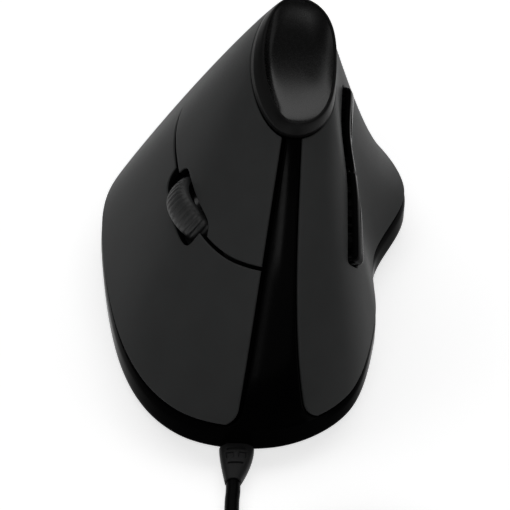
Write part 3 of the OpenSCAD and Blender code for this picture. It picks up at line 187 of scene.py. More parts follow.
def join(*parts):
    verts, faces, start = [], [], 0
    for v, f in parts:
        verts.append(np.asarray(v).reshape(-1, 3))
        faces += [tuple(k + start for k in q) for q in f]
        start += len(verts[-1])
    return np.concatenate(verts), faces


def grid_faces(ni, nj, wrap_i=False, wrap_j=False, flip=False):
    out = []
    for i in range(ni if wrap_i else ni - 1):
        for j in range(nj if wrap_j else nj - 1):
            a, b = i * nj + j, (i + 1) % ni * nj + j
            d, c = i * nj + (j + 1) % nj, (i + 1) % ni * nj + (j + 1) % nj
            out.append((a, b, c, d) if flip else (a, d, c, b))
    return out


# The skin, by the same formulas as the part's source, in millimetres. Stations go round the foot from the front.
# A station has its foot point as shares of the half lengths, its angle on the crown, its slope and pull at the
# foot, its slope and pull at the crown, and the rim's lift there.
FINGER, THUMB, FRONT, REAR = 38, 38, 58.9, 59.1
RIM_TOP = 11
STATIONS = np.array([
    [-0.105, 1.000, 90, 63, 18.8, 40, 18, -2], [0.468, 0.932, 58, 59.5, 16.7, 42, 18, -0.8],
    [0.824, 0.590, 30, 54.7, 14.9, 47, 18, 1.4], [1.000, -0.085, 0, 57.3, 16.6, 54, 18, 1.6],
    [0.855, -0.475, -40, 58.7, 17.3, 55, 16, 0.8], [0.475, -0.850, -70, 61.7, 19.9, 48, 16, 0.2],
    [-0.155, -1.000, -98, 68, 22, 42, 16, 0], [-0.690, -0.750, -130, 60, 16, 56, 16, 0],
    [-1.000, -0.325, -162, 40, 16, 80, 24, 0], [-0.765, 0.093, -192, 68.8, 14.5, 84, 20, -0.5],
    [-0.738, 0.470, -220, 70.2, 14.5, 68, 18, -0.5], [-0.552, 0.832, -246, 66.5, 16.2, 46, 18, -2.3]])
AT_X, AT_Y, AT_ANGLE, LOW_SLOPE, LOW_PULL, HIGH_SLOPE, HIGH_PULL, LIFT = range(8)
STATIONS[:, AT_X] *= np.where(STATIONS[:, AT_X] > 0, FINGER, THUMB)
STATIONS[:, AT_Y] *= np.where(STATIONS[:, AT_Y] > 0, FRONT, REAR)
ROUND = len(STATIONS)
REAR_SEAM = 7  # the station of the seam between palm shell and thumb shell
UP = np.array([0.0, 0.0, 1.0])
CROWN = np.array([-8.6, 1, 64.3])
HALF_W, HALF_L = 9.6, 17
CROWN_FULL, CROWN_SKEW = 0.12, 0.18
PITCH, ROLL = math.radians(26), math.radians(6)
EY = np.array([0, math.cos(PITCH), -math.sin(PITCH)])
EX = math.cos(ROLL) * np.array([1.0, 0, 0]) + math.sin(ROLL) * np.cross([1.0, 0, 0], EY)
EN = np.cross(EX, EY)


def unit(a):
    return a / np.linalg.norm(a, axis=-1, keepdims=True)


def crown_point(angle, inset=0, rise=0):
    a = np.radians(np.asarray(angle, float))[..., None]
    inset, rise = np.asarray(inset, float)[..., None], np.asarray(rise, float)[..., None]
    wide = (HALF_W - inset) * np.cos(a) * (1 + np.sin(a) ** 2 * (CROWN_FULL - CROWN_SKEW * np.cos(a)))
    return CROWN + rise * EN + wide * EX + (HALF_L - inset) * np.sin(a) * EY


def station(u):
    """The station's values at u, on smooth curves through the stations."""
    u = np.asarray(u, float)
    i = np.floor(u).astype(int)
    t = (u - i)[..., None]

    def row(k):
        s = STATIONS[k % ROUND].copy()
        s[..., AT_ANGLE] -= 360 * np.floor(k / ROUND)
        return s

    a, b, c, d = row(i - 1), row(i), row(i + 1), row(i + 2)
    return 0.5 * (2 * b + (c - a) * t + (2 * a - 5 * b + 4 * c - d) * t ** 2 + (3 * b - a - 3 * c + d) * t ** 3)


def skin(u, v):
    """A point of the skin: u goes round the foot, and v from the rim at 0 to the crown at 1."""
    u, v = np.broadcast_arrays(np.asarray(u, float), np.asarray(v, float))
    s = station(u)
    foot = np.stack([s[..., AT_X], s[..., AT_Y], RIM_TOP + s[..., LIFT]], -1)
    top = crown_point(s[..., AT_ANGLE])
    inward = top - foot
    inward[..., 2] = 0
    inward = unit(inward)

    def slope(angle):
        q = np.radians(angle)[..., None]
        return np.cos(q) * inward + np.sin(q) * UP

    p = foot + s[..., LOW_PULL, None] * slope(s[..., LOW_SLOPE])
    q = top - s[..., HIGH_PULL, None] * slope(s[..., HIGH_SLOPE])
    v = v[..., None]
    w = 1 - v
    return w ** 3 * foot + 3 * w * w * v * p + 3 * w * v * v * q + v ** 3 * top


NUDGE = 0.01


def skin_du(u, v):
    return (skin(np.asarray(u) + NUDGE, v) - skin(np.asarray(u) - NUDGE, v)) / (2 * NUDGE)


def skin_dv(u, v):
    return (skin(u, np.asarray(v) + NUDGE) - skin(u, np.asarray(v) - NUDGE)) / (2 * NUDGE)


def skin_n(u, v):
    return unit(np.cross(skin_dv(u, v), skin_du(u, v)))


def u_step(u, v, length):
    """The step of u that goes this length along the skin."""
    return length / np.linalg.norm(skin_du(u, v), axis=-1)


def v_step(u, v, length):
    return length / np.linalg.norm(skin_dv(u, v), axis=-1)


def foot_point(u, inset, z):
    s, t = station(u), station(np.asarray(u) + NUDGE) - station(np.asarray(u) - NUDGE)
    n = unit(np.stack([-t[..., AT_Y], t[..., AT_X]], -1))
    xy = s[..., :2] - np.asarray(inset, float)[..., None] * n
    return np.concatenate([xy, np.broadcast_to(np.asarray(z, float), xy.shape[:-1])[..., None]], -1)


def smooth_step(x):
    x = np.clip(x, 0, 1)
    return x * x * (3 - 2 * x)


# Lines on the skin: the spine's two sides, and the slit between the finger keys with the wheel's opening
SPINE_FINGER, SPINE_FINGER_BOW = 0.3, 0.04
SPINE_THUMB, SPINE_THUMB_BOW = -0.22, 0.17
BOW_V = 0.6
FLARE_V, FLARE = 0.08, 4.5  # the spine widens by this rounding where it meets the rim


def bow(v):
    return ((v - BOW_V) / BOW_V) ** 2


def corner(v):
    rise = 1 - np.clip(v, 0, None) / FLARE_V
    return np.where(v < FLARE_V, 1 - np.sqrt(np.clip(1 - rise ** 2, 0, None)), 0)


def spine_finger(v):
    return SPINE_FINGER + SPINE_FINGER_BOW * bow(v) + u_step(SPINE_FINGER, v, FLARE * corner(v))


def spine_thumb(v):
    return SPINE_THUMB - SPINE_THUMB_BOW * bow(v) - u_step(SPINE_THUMB, v, FLARE * corner(v))


def frame_at(o, x, z):
    ux = unit(x)
    uz = unit(z - (z @ ux) * ux)
    return o, np.stack([ux, np.cross(uz, ux), uz])


HINGE_U, SLIT_END = 3.9, 3.74
SLIT_V, SLIT_DROP, SLIT_CREST = 0.555, 0.009, 1.4
SLIT_HALF, SLIT_TAPER, SLIT_ROLL, SLIT_ROLL_TAPER, SLIT_CLEAR = 0.45, 1.1, 0.28, 0.5, 0.004
WHEEL_U, WHEEL_V = 2.18, 0.537
FING_O, FING_R = frame_at(skin(WHEEL_U, WHEEL_V), -skin_du(WHEEL_U, WHEEL_V), skin_n(WHEEL_U, WHEEL_V))
WHEEL_R, WHEEL_W, WHEEL_PROUD = 9, 7, 3
SINK = WHEEL_R - WHEEL_PROUD
OPEN_W = WHEEL_W / 2 + 1
OPEN_L = math.sqrt(WHEEL_R ** 2 - (SINK - 2) ** 2) + 2.5
OPEN_SKEW, OPEN_POWER = 1.3, 8


def slit(u):
    return SLIT_V - SLIT_DROP * (u - SLIT_CREST) ** 2


def along_opening(u, side):
    """Where the slit lies along the wheel's opening, which ends at -1 and 1."""
    return ((skin(u, slit(u)) - FING_O) @ FING_R[0] - side * OPEN_SKEW) / OPEN_L


def opening(u, side):
    x = along_opening(u, side)
    reach = v_step(WHEEL_U, WHEEL_V, OPEN_W) + side * (WHEEL_V - slit(u))
    return np.where(np.abs(x) < 1, reach * np.sqrt(np.clip(1 - x ** OPEN_POWER, 0, None)), 0)


def slit_edge(u, side):
    half = SLIT_HALF * np.sqrt(np.clip((SLIT_END - u) / SLIT_TAPER, 0, 1))
    return slit(u) + side * np.maximum(v_step(u, slit(u), half), opening(u, side))


def slit_roll(u):
    return SLIT_ROLL * smooth_step((SLIT_END - u) / SLIT_ROLL_TAPER)


# Panels of the skin
PANEL_WALL, LEAST_WALL = 2.0, 0.2
TURN_STEPS = 9
EDGE = np.array([0, 0.03, 0.09, 0.18, 0.3, 0.45, 0.65, 0.9, 1.3])  # distances of the close lines along an edge
EDGE_W = EDGE[-1]
ROLLED, SEAM_ROLL, FOOT_ROLL, TOP_ROLL = 0.5, 0.45, 0.5, 0.3


def roll_depth(points, edges, wall):
    """How far rolled edges lie under the skin. edges holds the roll at the first and last line of i and of j."""
    ni, nj = points.shape[:2]
    steps_i = np.linalg.norm(np.diff(points, axis=0), axis=2)
    steps_j = np.linalg.norm(np.diff(points, axis=1), axis=2)
    li = np.concatenate([np.zeros((1, nj)), np.cumsum(steps_i, 0)])
    lj = np.concatenate([np.zeros((ni, 1)), np.cumsum(steps_j, 1)], 1)
    depth = np.zeros((ni, nj))
    for dist, r in zip((li, li[-1:] - li, lj, lj[:, -1:] - lj), edges):
        r = np.broadcast_to(np.asarray(r, float), (ni, nj)) + 1e-9
        q = np.clip(1 - dist / r, 0, 1)
        depth = depth + r * (1 - np.sqrt(1 - q * q))
    return np.minimum(depth, wall - LEAST_WALL)


def panel(U, V, edges, wall=PANEL_WALL, wall_j0=None, wall_j1=None):
    """A closed panel over a grid of the skin.

    wall_j0 and wall_j1 say where the first and last line of j have a wall, if not all along.
    """
    P, N = skin(U, V), skin_n(U, V)
    ni, nj = U.shape
    outer, inner = P - roll_depth(P, edges, wall)[..., None] * N, P - wall * N
    m = ni * nj
    faces = grid_faces(ni, nj) + [tuple(k + m for k in f) for f in grid_faces(ni, nj, flip=True)]
    for j in range(nj - 1):
        a, d = j, j + 1
        faces.append((a, a + m, d + m, d))
        a, d = (ni - 1) * nj + j, (ni - 1) * nj + j + 1
        faces.append((a, d, d + m, a + m))
    for i in range(ni - 1):
        a, b = i * nj, (i + 1) * nj
        if wall_j0 is None or wall_j0[i]:
            faces.append((a, b, b + m, a + m))
        a, b = i * nj + nj - 1, (i + 1) * nj + nj - 1
        if wall_j1 is None or wall_j1[i]:
            faces.append((b, a, a + m, b + m))
    return np.concatenate([outer.reshape(-1, 3), inner.reshape(-1, 3)]), faces


def lines(length, step):
    """Shares of a length for grid lines a step apart, with close lines along both ends."""
    mid = np.linspace(0, length, max(4, int(round(length / step))) + 1)
    margin = EDGE_W + step * 0.4
    mid = mid[(mid > margin) & (mid < length - margin)]
    return np.concatenate([EDGE, mid, length - EDGE[::-1]]) / length


LINE_STEP = 0.045
OPEN_LINES, OPEN_LINES_SPAN = 14, 0.4
SLIT_LINES, SLIT_LINES_SPAN = 24, 0.5


def finger_lines():
    """Shares for the lines that cross both finger panels, closer at the ends of the wheel's opening and the slit."""
    u = list(np.arange(0.45, 6.95, LINE_STEP))
    fine = np.linspace(1.2, 3.2, 4001)
    for side in (1, -1):
        x = along_opening(fine, side)
        for k in np.linspace(0, 1, OPEN_LINES):
            for want in (1 - OPEN_LINES_SPAN * k * k, -1 + OPEN_LINES_SPAN * k * k):
                u.append(float(np.interp(want, x[::-1], fine[::-1])))
    u += list(np.linspace(SLIT_END - SLIT_LINES_SPAN, SLIT_END, SLIT_LINES))
    u = np.array(sorted(u))
    u = u[np.concatenate([[True], np.diff(u) > 1e-4])]
    first = SPINE_FINGER + SPINE_FINGER_BOW
    front = first + EDGE / EDGE_W * float(u_step(first, 0.5, EDGE_W))
    rear = REAR_SEAM - EDGE[::-1] / EDGE_W * float(u_step(REAR_SEAM, 0.5, EDGE_W))
    u = u[(u > front[-1] + 0.01) & (u < rear[0] - 0.01)]
    u = np.concatenate([front, u, rear])
    return (u - u[0]) / (u[-1] - u[0])


# Finger side: each key and the palm shell behind it are one panel, with the key's root across it.
SPINE_GAP, REAR_GAP, BLEND_HALF = 0.9, 0.15, 3.5
PANEL_TOP, LOWEST_V = 0.993, 0.01
UPPER_L, LOWER_L, FINGER_STEP = 40, 44, 0.9
LOW_CROWD = 1.25  # crowds the lower panel's lines towards the foot
FOOT_GAP, FOOT_GAP_MORE, FOOT_GAP_U, FOOT_GAP_SPAN, FOOT_GAP_STEPS = 0.3, 0.3, 3.6, 0.6, 60
S = finger_lines()[:, None]


def finger_front(w):
    return spine_finger(w) + u_step(SPINE_FINGER, w, SPINE_GAP)


def finger_rear(w):
    return REAR_SEAM - u_step(REAR_SEAM, w, REAR_GAP)


def finger_u(w):
    return finger_front(w) + (finger_rear(w) - finger_front(w)) * S


def blend_points(low_v, high_v):
    a, b = skin(HINGE_U, low_v), skin(HINGE_U, high_v)
    axis = unit(b - a)
    along = skin_du(HINGE_U, (low_v + high_v) / 2)
    along = unit(along - (along @ axis) * axis)
    mid = (a + b) / 2
    return tuple((mid - BLEND_HALF * along) * MM), tuple((mid + BLEND_HALF * along) * MM)


def has_slit(u):
    return u[:-1] < SLIT_END - SLIT_CLEAR


T = lines(UPPER_L, FINGER_STEP)[None, :]
U = finger_u(slit(SPINE_FINGER) + (PANEL_TOP - slit(SPINE_FINGER)) * T)
V = slit_edge(U, 1) + (PANEL_TOP - slit_edge(U, 1)) * T
upper_mesh = panel(U, V, (ROLLED, SEAM_ROLL, slit_roll(U), TOP_ROLL), wall_j0=has_slit(U[:, 0]))
upper = add("upper_panel", *upper_mesh, MATTE, "matte_shell", ("upper_key", "palm_shell"), body=None)
blend_points(float(slit(HINGE_U)), PANEL_TOP)
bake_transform(upper)
# The walls in the panel's slit and seams get painted shade.
paint_gap_shade(upper)

foot_u = np.linspace(0, REAR_SEAM, FOOT_GAP_STEPS)
foot_gap = FOOT_GAP + FOOT_GAP_MORE * (1 - smooth_step((foot_u - FOOT_GAP_U) / FOOT_GAP_SPAN))


def foot_edge(u):
    return v_step(u, 0 * u, np.interp(u, foot_u, foot_gap))


T = lines(LOWER_L, FINGER_STEP)[None, :] ** LOW_CROWD
U = finger_u(LOWEST_V + (slit(SPINE_FINGER) - LOWEST_V) * T)
V = foot_edge(U) + (slit_edge(U, -1) - foot_edge(U)) * T
lower_mesh = panel(U, V, (ROLLED, SEAM_ROLL, FOOT_ROLL, slit_roll(U)), wall_j1=has_slit(U[:, -1]))
lower = add("lower_panel", *lower_mesh, MATTE, "matte_shell", ("lower_key",), body=None)
blend_points(0.0, float(slit(HINGE_U)))
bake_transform(lower)
paint_gap_shade(lower)

# Thumb side: the two keys lie on a line from strip_top to strip_low.
THUMB_U = 9.4
strip_top, strip_low = skin(7.85, 0.77), skin(10.4, 0.43)
THUMB_O, THUMB_R = frame_at((strip_top + strip_low) / 2, strip_top - strip_low, skin_n(THUMB_U, 0.64))
STRIP_L, STRIP_W, STRIP_PROUD, STRIP_BOW = 42, 5, 1.9, 1.2
STRIP_CORNER, SPLIT_CORNER, SPLIT_HALF = 1.2, 0.4, 0.3
ARC_STEPS = 14
KEY_ROOT, KEY_SHOULDER, KEY_ROLL, KEY_CROWN, KEY_CROWN_SPAN = 2.6, 1.1, 1.0, 0.25, 2.5
KEY_CORNER_FALL, KEY_CORNER_LEAST = 0.3, 0.1
KEY_RINGS = (0.0, 0.02, 0.07, 0.16, 0.3, 0.5, 0.75, 1.05, 1.4, 1.8, 2.2)  # insets of the rings over the key's top
SPLIT_SHARE = 0.2  # how much of a ring's inset the key's end at the split takes


def strip_ring(x0, x1, grow, low_r, high_r):
    w = STRIP_W / 2 + grow
    low_r, high_r = min(low_r, 0.9 * w), min(high_r, 0.9 * w)
    a, b = x0 - grow + low_r, x1 + grow - high_r
    quarter = np.linspace(0, math.pi / 2, ARC_STEPS)

    def mid(x):
        return STRIP_BOW * (1 - (2 * x / STRIP_L) ** 2)

    def arc(x, side, r, start):
        y = mid(x) + side * (w - r)
        return [(x + r * math.cos(q + start), y + r * math.sin(q + start)) for q in quarter]

    pts = [(x, mid(x) - w) for x in np.linspace(a, b, ARC_STEPS * 2)[1:-1]]
    pts += arc(b, -1, high_r, -math.pi / 2) + arc(b, 1, high_r, 0)
    pts += [(x, mid(x) + w) for x in np.linspace(b, a, ARC_STEPS * 2)[1:-1]]
    pts += arc(a, 1, low_r, math.pi / 2) + arc(a, -1, low_r, math.pi)
    return np.array(pts)


NEWTON_STEPS, NEWTON_MOST = 8, 0.2
seed_u, seed_v = np.meshgrid(np.linspace(7.2, 10.9, 60), np.linspace(0.2, 0.95, 40), indexing="ij")
seed_uv = np.stack([seed_u.ravel(), seed_v.ravel()], 1)
seed_xy = (skin(seed_u, seed_v).reshape(-1, 3) - THUMB_O) @ THUMB_R.T


def uv_at(xy):
    """The u and v of the skin under points of the thumb keys' plane, by Newton's method."""
    k = np.argmin(((seed_xy[None, :, :2] - xy[:, None]) ** 2).sum(2), 1)
    uv = seed_uv[k].copy()
    for _ in range(NEWTON_STEPS):
        u, v = uv[:, 0], uv[:, 1]
        p = (skin(u, v) - THUMB_O) @ THUMB_R.T
        jac = np.stack([(skin_du(u, v) @ THUMB_R.T)[:, :2], (skin_dv(u, v) @ THUMB_R.T)[:, :2]], 2)
        move = np.linalg.solve(jac, (xy - p[:, :2])[..., None])[..., 0]
        uv = uv + np.clip(move, -NEWTON_MOST, NEWTON_MOST)
    return uv


def on_thumb(xy, rise):
    """Points over the skin by rise, at places of the thumb keys' plane."""
    uv = uv_at(xy)
    z = ((skin(uv[:, 0], uv[:, 1]) - THUMB_O) @ THUMB_R.T)[:, 2] + rise
    return THUMB_O + np.concatenate([xy, z[:, None]], 1) @ THUMB_R


def thumb_key(name, node, x0, x1, low_r, high_r, low_share, high_share):
    base = strip_ring(x0, x1, 0, low_r, high_r)
    rings = [on_thumb(base, -KEY_ROOT), on_thumb(base, STRIP_PROUD - KEY_SHOULDER)]
    for d in KEY_RINGS:
        q = max(0, 1 - d / KEY_ROLL)
        corners = [max(r - KEY_CORNER_FALL * d, KEY_CORNER_LEAST) for r in (low_r, high_r)]
        ring = strip_ring(x0 - (1 - low_share) * d, x1 + (1 - high_share) * d, -d, *corners)
        crown = KEY_CROWN * (1 - (1 - d / KEY_CROWN_SPAN) ** 2) - KEY_CROWN
        rings.append(on_thumb(ring, STRIP_PROUD - KEY_ROLL * (1 - math.sqrt(1 - q * q)) + crown))
    n = len(base)
    faces = []
    for k in range(len(rings) - 1):
        for i in range(n):
            a, b = k * n + i, k * n + (i + 1) % n
            faces.append((a, b, b + n, a + n))
    last = (len(rings) - 1) * n
    faces.append(tuple(last + i for i in range(n)))
    faces.append(tuple(n - 1 - i for i in range(n)))
    add(name, np.concatenate(rings), faces, STRIP, "thumb_key", (node,), node)


thumb_key("rear_thumb_key", "thumb_key_rear", SPLIT_HALF, STRIP_L / 2, SPLIT_CORNER, STRIP_CORNER, SPLIT_SHARE, 1)
thumb_key("front_thumb_key", "thumb_key_front", -STRIP_L / 2, -SPLIT_HALF, STRIP_CORNER, SPLIT_CORNER, 1,
          SPLIT_SHARE)

# The thumb panel has the keys' opening in it, so its skin is triangulated round that outline.
HOLE, HOLE_ROLL, HOLE_MARGIN = 0.35, 0.4, 1.5
THUMB_L, THUMB_H, THUMB_STEP, THUMB_CROWD = 95, 62, 1.1, 1.1
THUMB_TOP, THUMB_FOOT_GAP, THUMB_SPINE_GAP = 0.997, 0.3, 0.3
FLAT_U, FLAT_V = 19, 62  # millimetres for a step of 1 of u and of v in the triangulation's plane


def inside(points, ring):
    x, y = points[:, 0], points[:, 1]
    hit = np.zeros(len(points), bool)
    for (x0, y0), (x1, y1) in zip(ring, np.roll(ring, -1, 0)):
        crosses = (y0 > y) != (y1 > y)
        hit ^= crosses & (x < (x1 - x0) * (y - y0) / (y1 - y0 + 1e-15) + x0)
    return hit


def flat(uv):
    return np.stack([uv[:, 0] * FLAT_U, uv[:, 1] * FLAT_V], 1)


def hole_uv(grow):
    corner_r = STRIP_CORNER + grow
    return uv_at(strip_ring(-STRIP_L / 2, STRIP_L / 2, HOLE + grow, corner_r, corner_r))


def round_edges(ring):
    return list(zip(ring, ring[1:] + ring[:1]))


def thumb_panel():
    across, up = lines(THUMB_L, THUMB_STEP)[:, None], lines(THUMB_H, THUMB_STEP)[None, :]
    low_v = v_step(THUMB_U, 0.0, THUMB_FOOT_GAP)
    V = low_v + (THUMB_TOP - low_v) * up ** THUMB_CROWD + 0 * across
    start = REAR_SEAM + u_step(REAR_SEAM, V, REAR_GAP)
    end = ROUND + spine_thumb(V) - u_step(SPINE_THUMB, V, THUMB_SPINE_GAP)
    U = start + (end - start) * across
    ni, nj = U.shape
    depth = roll_depth(skin(U, V), (SEAM_ROLL, ROLLED, FOOT_ROLL, TOP_ROLL), PANEL_WALL)

    # Points of the grid clear of the opening, and rings round the opening
    uv = np.stack([U.ravel(), V.ravel()], 1)
    clear = ~inside(flat(uv), flat(hole_uv(HOLE_MARGIN)))
    count = int(clear.sum())
    index = -np.ones(ni * nj, int)
    index[clear] = np.arange(count)
    index = index.reshape(ni, nj)
    rings = [hole_uv(d) for d in EDGE[:-1]]
    n = len(rings[0])
    depths = [depth.ravel()[clear]]
    for d in EDGE[:-1]:
        q = max(0, 1 - d / HOLE_ROLL)
        depths.append(np.full(n, HOLE_ROLL * (1 - math.sqrt(1 - q * q))))
    uv, depths = np.concatenate([uv[clear]] + rings), np.concatenate(depths)

    # The grid lines and the rings are kept as edges, so that the rolled edges stay even.
    pairs = np.concatenate([np.stack([index[:-1].ravel(), index[1:].ravel()], 1),
                            np.stack([index[:, :-1].ravel(), index[:, 1:].ravel()], 1)])
    edges = [tuple(pair) for pair in pairs[(pairs >= 0).all(1)].tolist()]
    hole = [count + k for k in range(n)]
    for k in range(len(rings)):
        edges += round_edges([k * n + i for i in hole])
    plane = flat(uv)
    out = delaunay_2d_cdt([Vector(p) for p in plane], edges, [], 0, 1e-7)
    first = [ids[0] for ids in out[3]]
    faces = [[first[k] for k in face] for face in out[2]]
    outline = np.concatenate([index[:, 0], index[-1, 1:], index[-2::-1, -1], index[0, -2:0:-1]])
    middle = np.array([plane[face].mean(0) for face in faces])
    good = inside(middle, plane[outline]) & ~inside(middle, plane[hole])

    # The skin's faces all look outwards, and walls join their free edges to the back.
    P, N = skin(uv[:, 0], uv[:, 1]), skin_n(uv[:, 0], uv[:, 1])
    front = []
    for face, ok in zip(faces, good):
        if ok:
            a, b, c = face[:3]
            outwards = np.cross(P[b] - P[a], P[c] - P[a]) @ N[a] > 0
            front.append(tuple(face) if outwards else tuple(face[::-1]))
    m = len(P)
    sides = dict.fromkeys(side for face in front for side in round_edges(face))
    back = [tuple(k + m for k in face[::-1]) for face in front]
    walls = [(b, a, a + m, b + m) for a, b in sides if (b, a) not in sides]
    return np.concatenate([P - depths[:, None] * N, P - PANEL_WALL * N]), front + back + walls


thumb = add("thumb_panel", *thumb_panel(), MATTE, "matte_shell", ("thumb_shell",))
paint_gap_shade(thumb)

# Glossy rim and spine. A rim section's points are insets from the foot's outline, heights, and shares of the way
# from there up to the rim's top.
RIM_LIP, RIM_LOW, UNDERCUT, RIM_WALL = 3.5, 1.0, 3.2, 2.2
RIM_SIDE = ((0, 0.2), (0, 0.4), (0, 0.58), (0.04, 0.66), (0.16, 0.76), (0.3, 0.86), (0.42, 0.93), (0.62, 0.975),
            (0.95, 1.0), (RIM_WALL, 1.0), (RIM_WALL, 0.2))
RIM_STEPS, RIM_FADE = 360, 0.12
SPINE_L, SPINE_L_STEP, SPINE_W, SPINE_W_STEP = 78, 1.2, 10, 0.8
SPINE_TOP, SPINE_TOP_ROLL, SPINE_CROWD, SPINE_WALL = 0.998, 0.2, 1.2, 3.6
LEDGE_FACE, LEDGE_BACK = 3.1, 3.6  # depths under the skin
LEDGE_REACH, LEDGE_V = (-1, 2.6), (0.03, 0.97)
LEDGE_I, LEDGE_J = 6, 50
us = np.linspace(0, ROUND, RIM_STEPS + 1)[:-1]
from_front = np.where(us > ROUND / 2, us - ROUND, us)
edge_a, edge_b = float(spine_thumb(np.array(0.0))), float(spine_finger(np.array(0.0)))
away = smooth_step(np.maximum(edge_a - from_front, from_front - edge_b) / RIM_FADE)
top = RIM_TOP + station(us)[:, LIFT]
section = [(UNDERCUT + RIM_WALL, RIM_LOW, 0)]
for q in np.radians(np.linspace(0, 90, TURN_STEPS)):
    section.append((UNDERCUT * (1 - math.sin(q)), RIM_LIP - (RIM_LIP - RIM_LOW) * math.cos(q), 0))
section += [(inset, RIM_LIP, share) for inset, share in RIM_SIDE]
ring = []
for inset, z, share in section:
    rolled = share > 0 and inset < RIM_WALL
    ring.append(foot_point(us, inset * away if rolled else np.full(len(us), inset), z + share * (top - z)))
rim = (np.stack(ring, 1).reshape(-1, 3), grid_faces(len(us), len(section), wrap_i=True, wrap_j=True))

V = SPINE_TOP * lines(SPINE_L, SPINE_L_STEP)[None, :] ** SPINE_CROWD
across = lines(SPINE_W, SPINE_W_STEP)[:, None]
U = spine_thumb(V) + (spine_finger(V) - spine_thumb(V)) * across
spine = panel(U, V + 0 * across, (SEAM_ROLL, SEAM_ROLL, 0.0, SPINE_TOP_ROLL), wall=SPINE_WALL)

# A ledge behind the gap between the spine and the finger keys
V = np.linspace(*LEDGE_V, LEDGE_J)[None, :] + np.zeros((LEDGE_I, 1))
U = spine_finger(V) + u_step(SPINE_FINGER, V, 1.0) * np.linspace(*LEDGE_REACH, LEDGE_I)[:, None]
P, N = skin(U, V), skin_n(U, V)
ledge = np.concatenate([(P - LEDGE_FACE * N).reshape(-1, 3), (P - LEDGE_BACK * N).reshape(-1, 3)])
quads = grid_faces(LEDGE_I, LEDGE_J)
ledge_faces = quads + [tuple(k + LEDGE_I * LEDGE_J for k in q[::-1]) for q in quads]
base = add("rim_and_spine", *join(rim, spine, (ledge, ledge_faces)), GLOSS, "gloss_frame", ("base_frame",))
base.data.materials.append(SPINE)
for face in base.data.polygons[len(rim[1]):len(rim[1]) + len(spine[1])]:
    face.material_index = 1

# Crown. The ring's band is wider towards the finger side and the front. A bezel point is a share of the band,
# a further inset and a rise.
CROWN_STEPS = 192
BAND, BAND_X, BAND_Y = 1.26, 0.95, 0.68
BEZEL = [(0, 0, 0.1), (0.27, 0, 0.95), (0.55, 0, 1.8), (0.8, 0, 2.45), (0.94, 0, 2.75), (1, 0.04, 2.88),
         (1, 0.12, 2.97), (1, 0.24, 3.0), (1, 0.42, 3.0), (1, 0.55, 2.96), (1, 0.62, 2.86), (1, 0.62, 0.1)]
DISH_DEPTH, DISH_TOP, DISH_WALL, DISH_INSET = 2.2, 2.8, 1.4, 0.7
DISH_RINGS, DISH_MIDDLE = 48, 0.01
DISH_POWER, DISH_POWER_X = 7, 4  # the dish falls more steeply on the finger side
angles = np.linspace(0, 360, CROWN_STEPS + 1)[:-1]
cos_a, sin_a = np.cos(np.radians(angles)), np.sin(np.radians(angles))
band = BAND + BAND_X * cos_a + BAND_Y * sin_a
rings = np.stack([crown_point(angles, share * band + more, rise) for share, more, rise in BEZEL], 1)
bezel_faces = grid_faces(len(angles), len(BEZEL), wrap_i=True, wrap_j=True, flip=True)
add("crown_bezel_ring", rings.reshape(-1, 3), bezel_faces, RING, "crown_ring", ("crown_bezel",))
DISH_C = CROWN - BAND_X * EX - BAND_Y * EY
dish_rim = crown_point(angles, band + DISH_INSET, 0) - DISH_C


def dish_ring(r, low):
    along = r * (dish_rim @ EY) / np.abs(dish_rim @ EY).max()
    sunk = DISH_DEPTH * (1 - along ** 2) * (1 - r ** (DISH_POWER + DISH_POWER_X * cos_a))
    return DISH_C + (DISH_TOP - sunk - low)[:, None] * EN + r * dish_rim


radii = 1 - (1 - np.linspace(1, DISH_MIDDLE, DISH_RINGS)) ** 2
bowl = np.stack([dish_ring(r, DISH_WALL) for r in radii[::-1]] + [dish_ring(r, 0) for r in radii], 1)
ni, nj = bowl.shape[:2]
bowl_faces = grid_faces(ni, nj, wrap_i=True, flip=True)
bowl_faces += [tuple(i * nj for i in reversed(range(ni))), tuple((i + 1) * nj - 1 for i in range(ni))]
add("crown_dish_bowl", bowl.reshape(-1, 3), bowl_faces, DISH, "crown_gloss", ("crown_dish",))

# Scroll wheel
RIBS, RIB_STEPS, RIB_DEPTH, RIB_SHARP, RIB_SHIFT = 40, 10, 0.2, 3.0, 0.6
TYRE_WALL, TYRE_FALL, TYRE_POWER, TYRE_STEPS = 2.35, 2.2, 2.5, 25
WHEEL_C = FING_O - SINK * FING_R[2]
spin = np.linspace(0, 2 * math.pi, RIBS * RIB_STEPS + 1)[:-1]
rib = 0.5 - 0.5 * np.tanh(RIB_SHARP * np.cos(RIBS * spin) + RIB_SHIFT)
half = WHEEL_W / 2
profile = [(WHEEL_R - TYRE_WALL, -half, 0)]
for y in np.sin(np.linspace(-math.pi / 2, math.pi / 2, TYRE_STEPS)):
    bulge = TYRE_FALL * (1 - abs(y) ** TYRE_POWER) ** (1 / TYRE_POWER)
    profile.append((WHEEL_R - TYRE_FALL + bulge, half * y, 1 - abs(y) ** 3))
profile.append((WHEEL_R - TYRE_WALL, half, 0))
tyre = []
for r, y, ribbed in profile:
    rr = (r - RIB_DEPTH * ribbed * rib)[:, None]
    tyre.append(WHEEL_C + rr * (np.cos(spin)[:, None] * FING_R[0] + np.sin(spin)[:, None] * FING_R[2])
                + y * FING_R[1])
tyre_faces = grid_faces(len(spin), len(profile), wrap_i=True, wrap_j=True)
add("tyre", np.stack(tyre, 1).reshape(-1, 3), tyre_faces, TREAD, "tread", ("wheel_tyre",), "wheel")

